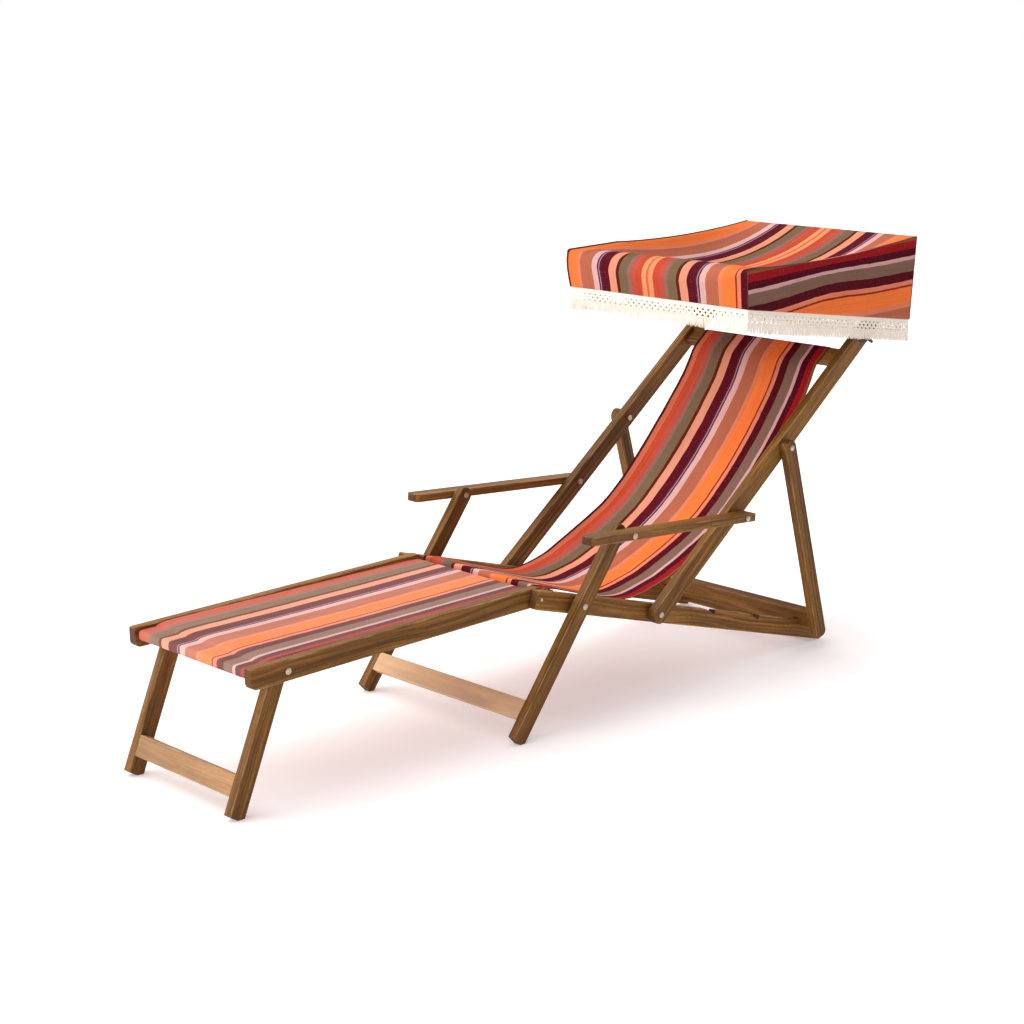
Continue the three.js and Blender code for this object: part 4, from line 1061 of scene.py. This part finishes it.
def add_canopy():
    shares = np.linspace(-1, 1, CANOPY_COLUMNS + 1)
    profiles = [canopy_profile(float(s)) for s in shares]
    depths = np.linspace(0, 1, VALANCE_ROWS + 1)
    mesh = bmesh.new()
    mesh.loops.layers.uv.new("UVMap")

    # Roof, with the soft roll at its front
    rows = []
    for r in range(len(profiles[0])):
        row = []
        for profile, share in zip(profiles, shares):
            y, z = profile[r]
            x = share * half_at(y) - CORNER_PULL * far_corner(share, y)
            uv = (x + ROOF_STRIPE_SHIFT * (1 - canopy_share(y)), r * YARN_PER_ROW)
            row.append(((x, y, z), uv))
        rows.append(row)
    add_grid(mesh, rows)
    roof = [[place for place, _ in row] for row in rows]

    # Valances of the ends, then of the sides
    hems = {}
    for top, sign in ((roof[0], -1), (roof[-1], 1)):
        rows = [end_valance(top, shares, depth, sign) for depth in depths]
        if sign < 0:
            leading = [row[0][0] for row in rows]
        hems[sign] = [place for place, _ in rows[-1]]
        add_grid(mesh, rows, flipped=sign < 0)
    for column, sign in ((0, -1), (-1, 1)):
        top = [row[column] for row in roof]
        rows = [side_valance(top, depth, sign) for depth in depths]
        hems[2 * sign] = [place for place, _ in rows[-1]]
        add_grid(mesh, rows, flipped=sign > 0)

    bmesh.ops.remove_doubles(mesh, verts=mesh.verts, dist=0.00004)
    bmesh.ops.recalc_face_normals(mesh, faces=mesh.faces)
    top = max(mesh.faces, key=lambda f: f.calc_center_median().z)
    if top.normal.z < 0:
        bmesh.ops.reverse_faces(mesh, faces=mesh.faces)
    data = bpy.data.meshes.new("canopy_cloth")
    mesh.to_mesh(data)
    mesh.free()
    data.set_sharp_from_angle(angle=math.radians(50))
    # fade=0.84 paints the canopy darker than the slings: painted light and shade
    data.materials.append(canvas_material("canvas_canopy", fade=0.84))
    cloth = linked("canopy_cloth", data)
    thicken(cloth, -1)
    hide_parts("canopy_cover")
    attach(cloth, "canopy")
    loop = [*hems[-1], *hems[2][1:], *hems[1][::-1][1:], *hems[-2][::-1][1:-1]]
    seams = [
        ([row[0] for row in roof], np.linspace(*FAR_SEAM, len(roof))),
        (roof[-1], ROOF_SEAM),
        ([row[-1] for row in roof], ROOF_SEAM),
    ]
    for r, sign, c in ((0, -1, -1), (-1, 1, 0), (-1, 1, -1)):
        seams.append((np.linspace(roof[r][c], hems[sign][c], 12), CORNER_SEAM))
    seams.append((leading, LEADING_SEAM))
    return cloth, loop, seams


class Shell:
    """Collects closed tubes into one mesh"""

    def __init__(self):
        self.vertices = []
        self.faces = []
        self.count = 0

    def tube(self, rings, closed=False):
        """rings is an array (ring, corner, 3); the ends are capped unless it closes on itself"""
        rings = np.asarray(rings, float)
        n, k = rings.shape[:2]
        base = self.count
        self.vertices.append(rings.reshape(-1, 3))
        self.count += n * k
        for i in range(n if closed else n - 1):
            a, b = base + i * k, base + (i + 1) % n * k
            for j in range(k):
                m = (j + 1) % k
                self.faces.append((a + j, a + m, b + m, b + j))
        if not closed:
            self.faces.append(tuple(base + j for j in range(k))[::-1])
            self.faces.append(tuple(base + (n - 1) * k + j for j in range(k)))

    def rope(self, path, radius, sides=8):
        """Round tube along a path in millimetres, its radius one value or one for each point"""
        path = np.asarray(path, float)
        step = unit(np.gradient(path, axis=0))
        aside = unit(np.cross(step, (0.31, 0.17, 0.93)))
        over = np.cross(step, aside)
        turn = ring_angles(sides)[None, :, None]
        rings = path[:, None] + np.broadcast_to(radius, len(path))[:, None, None] * (
            aside[:, None] * np.cos(turn) + over[:, None] * np.sin(turn)
        )
        rings = rings * MM
        rings[..., 1] -= MIDDLE * MM
        self.tube(rings)

    def piece(self, name, material):
        return new_object(name, np.vstack(self.vertices), self.faces, None, material, 60)


def ring_angles(sides):
    return np.arange(sides) * 2 * math.pi / sides


# ------------ lace fringe

FRINGE_DROP = 57
LACE_PITCH = 18
HEM_STEPS = 4001
LACE_SEED = 5
# The lace hangs this far inside the hem's middle, and a little less at its lower end
LACE_INSET, LACE_SPLAY = 2.1, 0.8
TAPE_DROPS = (-6, 10.5, 10.5, -6)
TAPE_LIFTS = (0.5, 0.5, -0.5, -0.5)
# Drop and radius of the cords that run along the lace
CORDS = ((1.6, 0.8), (5.5, 0.7), (10.4, 1.1), (31.0, 1.0))
NET_TOP, NET_DEPTH = 10, 21
STRAND_POINTS = 9
# Way along a motif, drop and size of its knots
KNOTS = ((0, 30.0, 3.0), (0.5, 20.5, 2.6))
THREADS, THREAD_TOP = 11, 31


def add_fringe(loop):
    """Cotton lace sewn inside the hem: woven heading, crossed strands and loose threads"""
    closed = np.array([*loop, loop[0]])
    run = lengths(closed)
    total = run[-1]
    motifs = round(total / LACE_PITCH)
    pitch = total / motifs
    grid = np.linspace(0, total, HEM_STEPS)
    centre = np.stack([np.interp(grid, run, closed[:, k]) for k in range(3)], 1)
    ahead = np.roll(centre[:-1], -6, axis=0) - np.roll(centre[:-1], 6, axis=0)
    inward = square_to(unit(np.vstack([ahead, ahead[:1]])[:, :2]))

    def spot(s, drop, outward):
        """Places from the way along the hem, the drop below it and the lift off the lace"""
        s = np.mod(s, total)
        low = np.asarray(drop) / FRINGE_DROP
        inset = LACE_INSET - LACE_SPLAY * low - outward + 0.8 * np.sin(s / 61.0) * low ** 2
        x, y = (
            np.interp(s, grid, centre[:, k]) + inset * np.interp(s, grid, inward[:, k])
            for k in (0, 1)
        )
        z = np.interp(s, grid, centre[:, 2]) - drop
        return np.stack([x * MM, (y - MIDDLE) * MM, z * MM], -1)

    shell = Shell()

    def strand(way, half_width, half_height, sides):
        """Flat strand along (s, drop, lift) places, its half width one value for each"""
        way = np.asarray(way, float)
        square = square_to(unit(np.gradient(way[:, :2], axis=0)))
        turn = ring_angles(sides) + math.pi / sides
        wide = half_width[:, None]
        s = way[:, :1] + square[:, :1] * wide * np.cos(turn)
        drop = way[:, 1:2] + square[:, 1:] * wide * np.cos(turn)
        shell.tube(spot(s, drop, way[:, 2:3] + half_height * np.sin(turn)))

    # Heading: a woven tape, and cords along the lace
    hem = np.linspace(0, total, motifs * 4, endpoint=False)[:, None]
    shell.tube(spot(hem, np.array(TAPE_DROPS), np.array(TAPE_LIFTS)), closed=True)
    turn = ring_angles(6)
    for drop, thick in CORDS:
        ripple = 0.25 * np.sin(hem * 2 * math.pi / pitch * 2)
        drops = drop + ripple + thick * np.cos(turn)
        shell.tube(spot(hem, drops, 0.3 + thick * np.sin(turn)), closed=True)

    # Net of crossed strands, with knots where they gather and cross
    strand_width = 4.3 - 0.8 * np.sin(np.linspace(0, math.pi, STRAND_POINTS))
    tilt = np.linspace(0.15, math.pi - 0.15, 5)[:, None]
    turn = ring_angles(8)
    for k in range(motifs):
        s = k * pitch
        for start, sign, lift in ((s, 1, 0.45), (s + pitch, -1, -0.35)):
            way = []
            for t in np.linspace(0, 1, STRAND_POINTS):
                bend = 0.5 - 0.5 * math.cos(math.pi * t)
                gone = start + sign * pitch * (0.35 * t + 0.65 * bend)
                way.append((gone, NET_TOP + NET_DEPTH * t, lift * math.cos(math.pi * t)))
            strand(way, strand_width, 0.55, 6)
        for way_along, drop, size in KNOTS:
            shell.tube(spot(
                s + way_along * pitch + size * np.sin(tilt) * np.cos(turn),
                drop - size * np.cos(tilt),
                0.3 + size * 0.6 * np.sin(tilt) * np.sin(turn),
            ))

    # Fringe of loose threads
    rng = np.random.default_rng(LACE_SEED)
    thread_width = np.array([0.72, 0.80, 0.80, 0.55])
    for k in range(motifs * THREADS):
        s = (k + 0.5) * pitch / THREADS
        length = FRINGE_DROP - THREAD_TOP + float(rng.uniform(-2.2, 1.6))
        lean = float(rng.uniform(-1.1, 1.1))
        curl = float(rng.uniform(-0.8, 0.8))
        way = [
            (
                s + lean * t + 0.5 * math.sin(3 * t + k), THREAD_TOP + length * t,
                curl * t * t + 0.2 * math.sin(5 * t + 2 * k),
            )
            for t in (0, 0.3, 0.65, 1)
        ]
        strand(way, thread_width, 0.62, 5)
    fringe = shell.piece("canopy_lace", lace_material())
    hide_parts("canopy_fringe")
    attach(fringe, "canopy")
    return fringe


def add_seams(lines):
    """Narrow rolled seams where the roof and the valances are sewn together"""
    shell = Shell()
    for path, radius in lines:
        shell.rope(path, radius)
    seams = shell.piece("canopy_seams", seam_material())
    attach(seams, "canopy")
    return seams


add_camera()
add_room()
dress_timber()
dress_metal()
add_main_sling()
add_footrest_sling()
canopy, hem_loop, seam_lines = add_canopy()
fringe = add_fringe(hem_loop)
seams = add_seams(seam_lines)
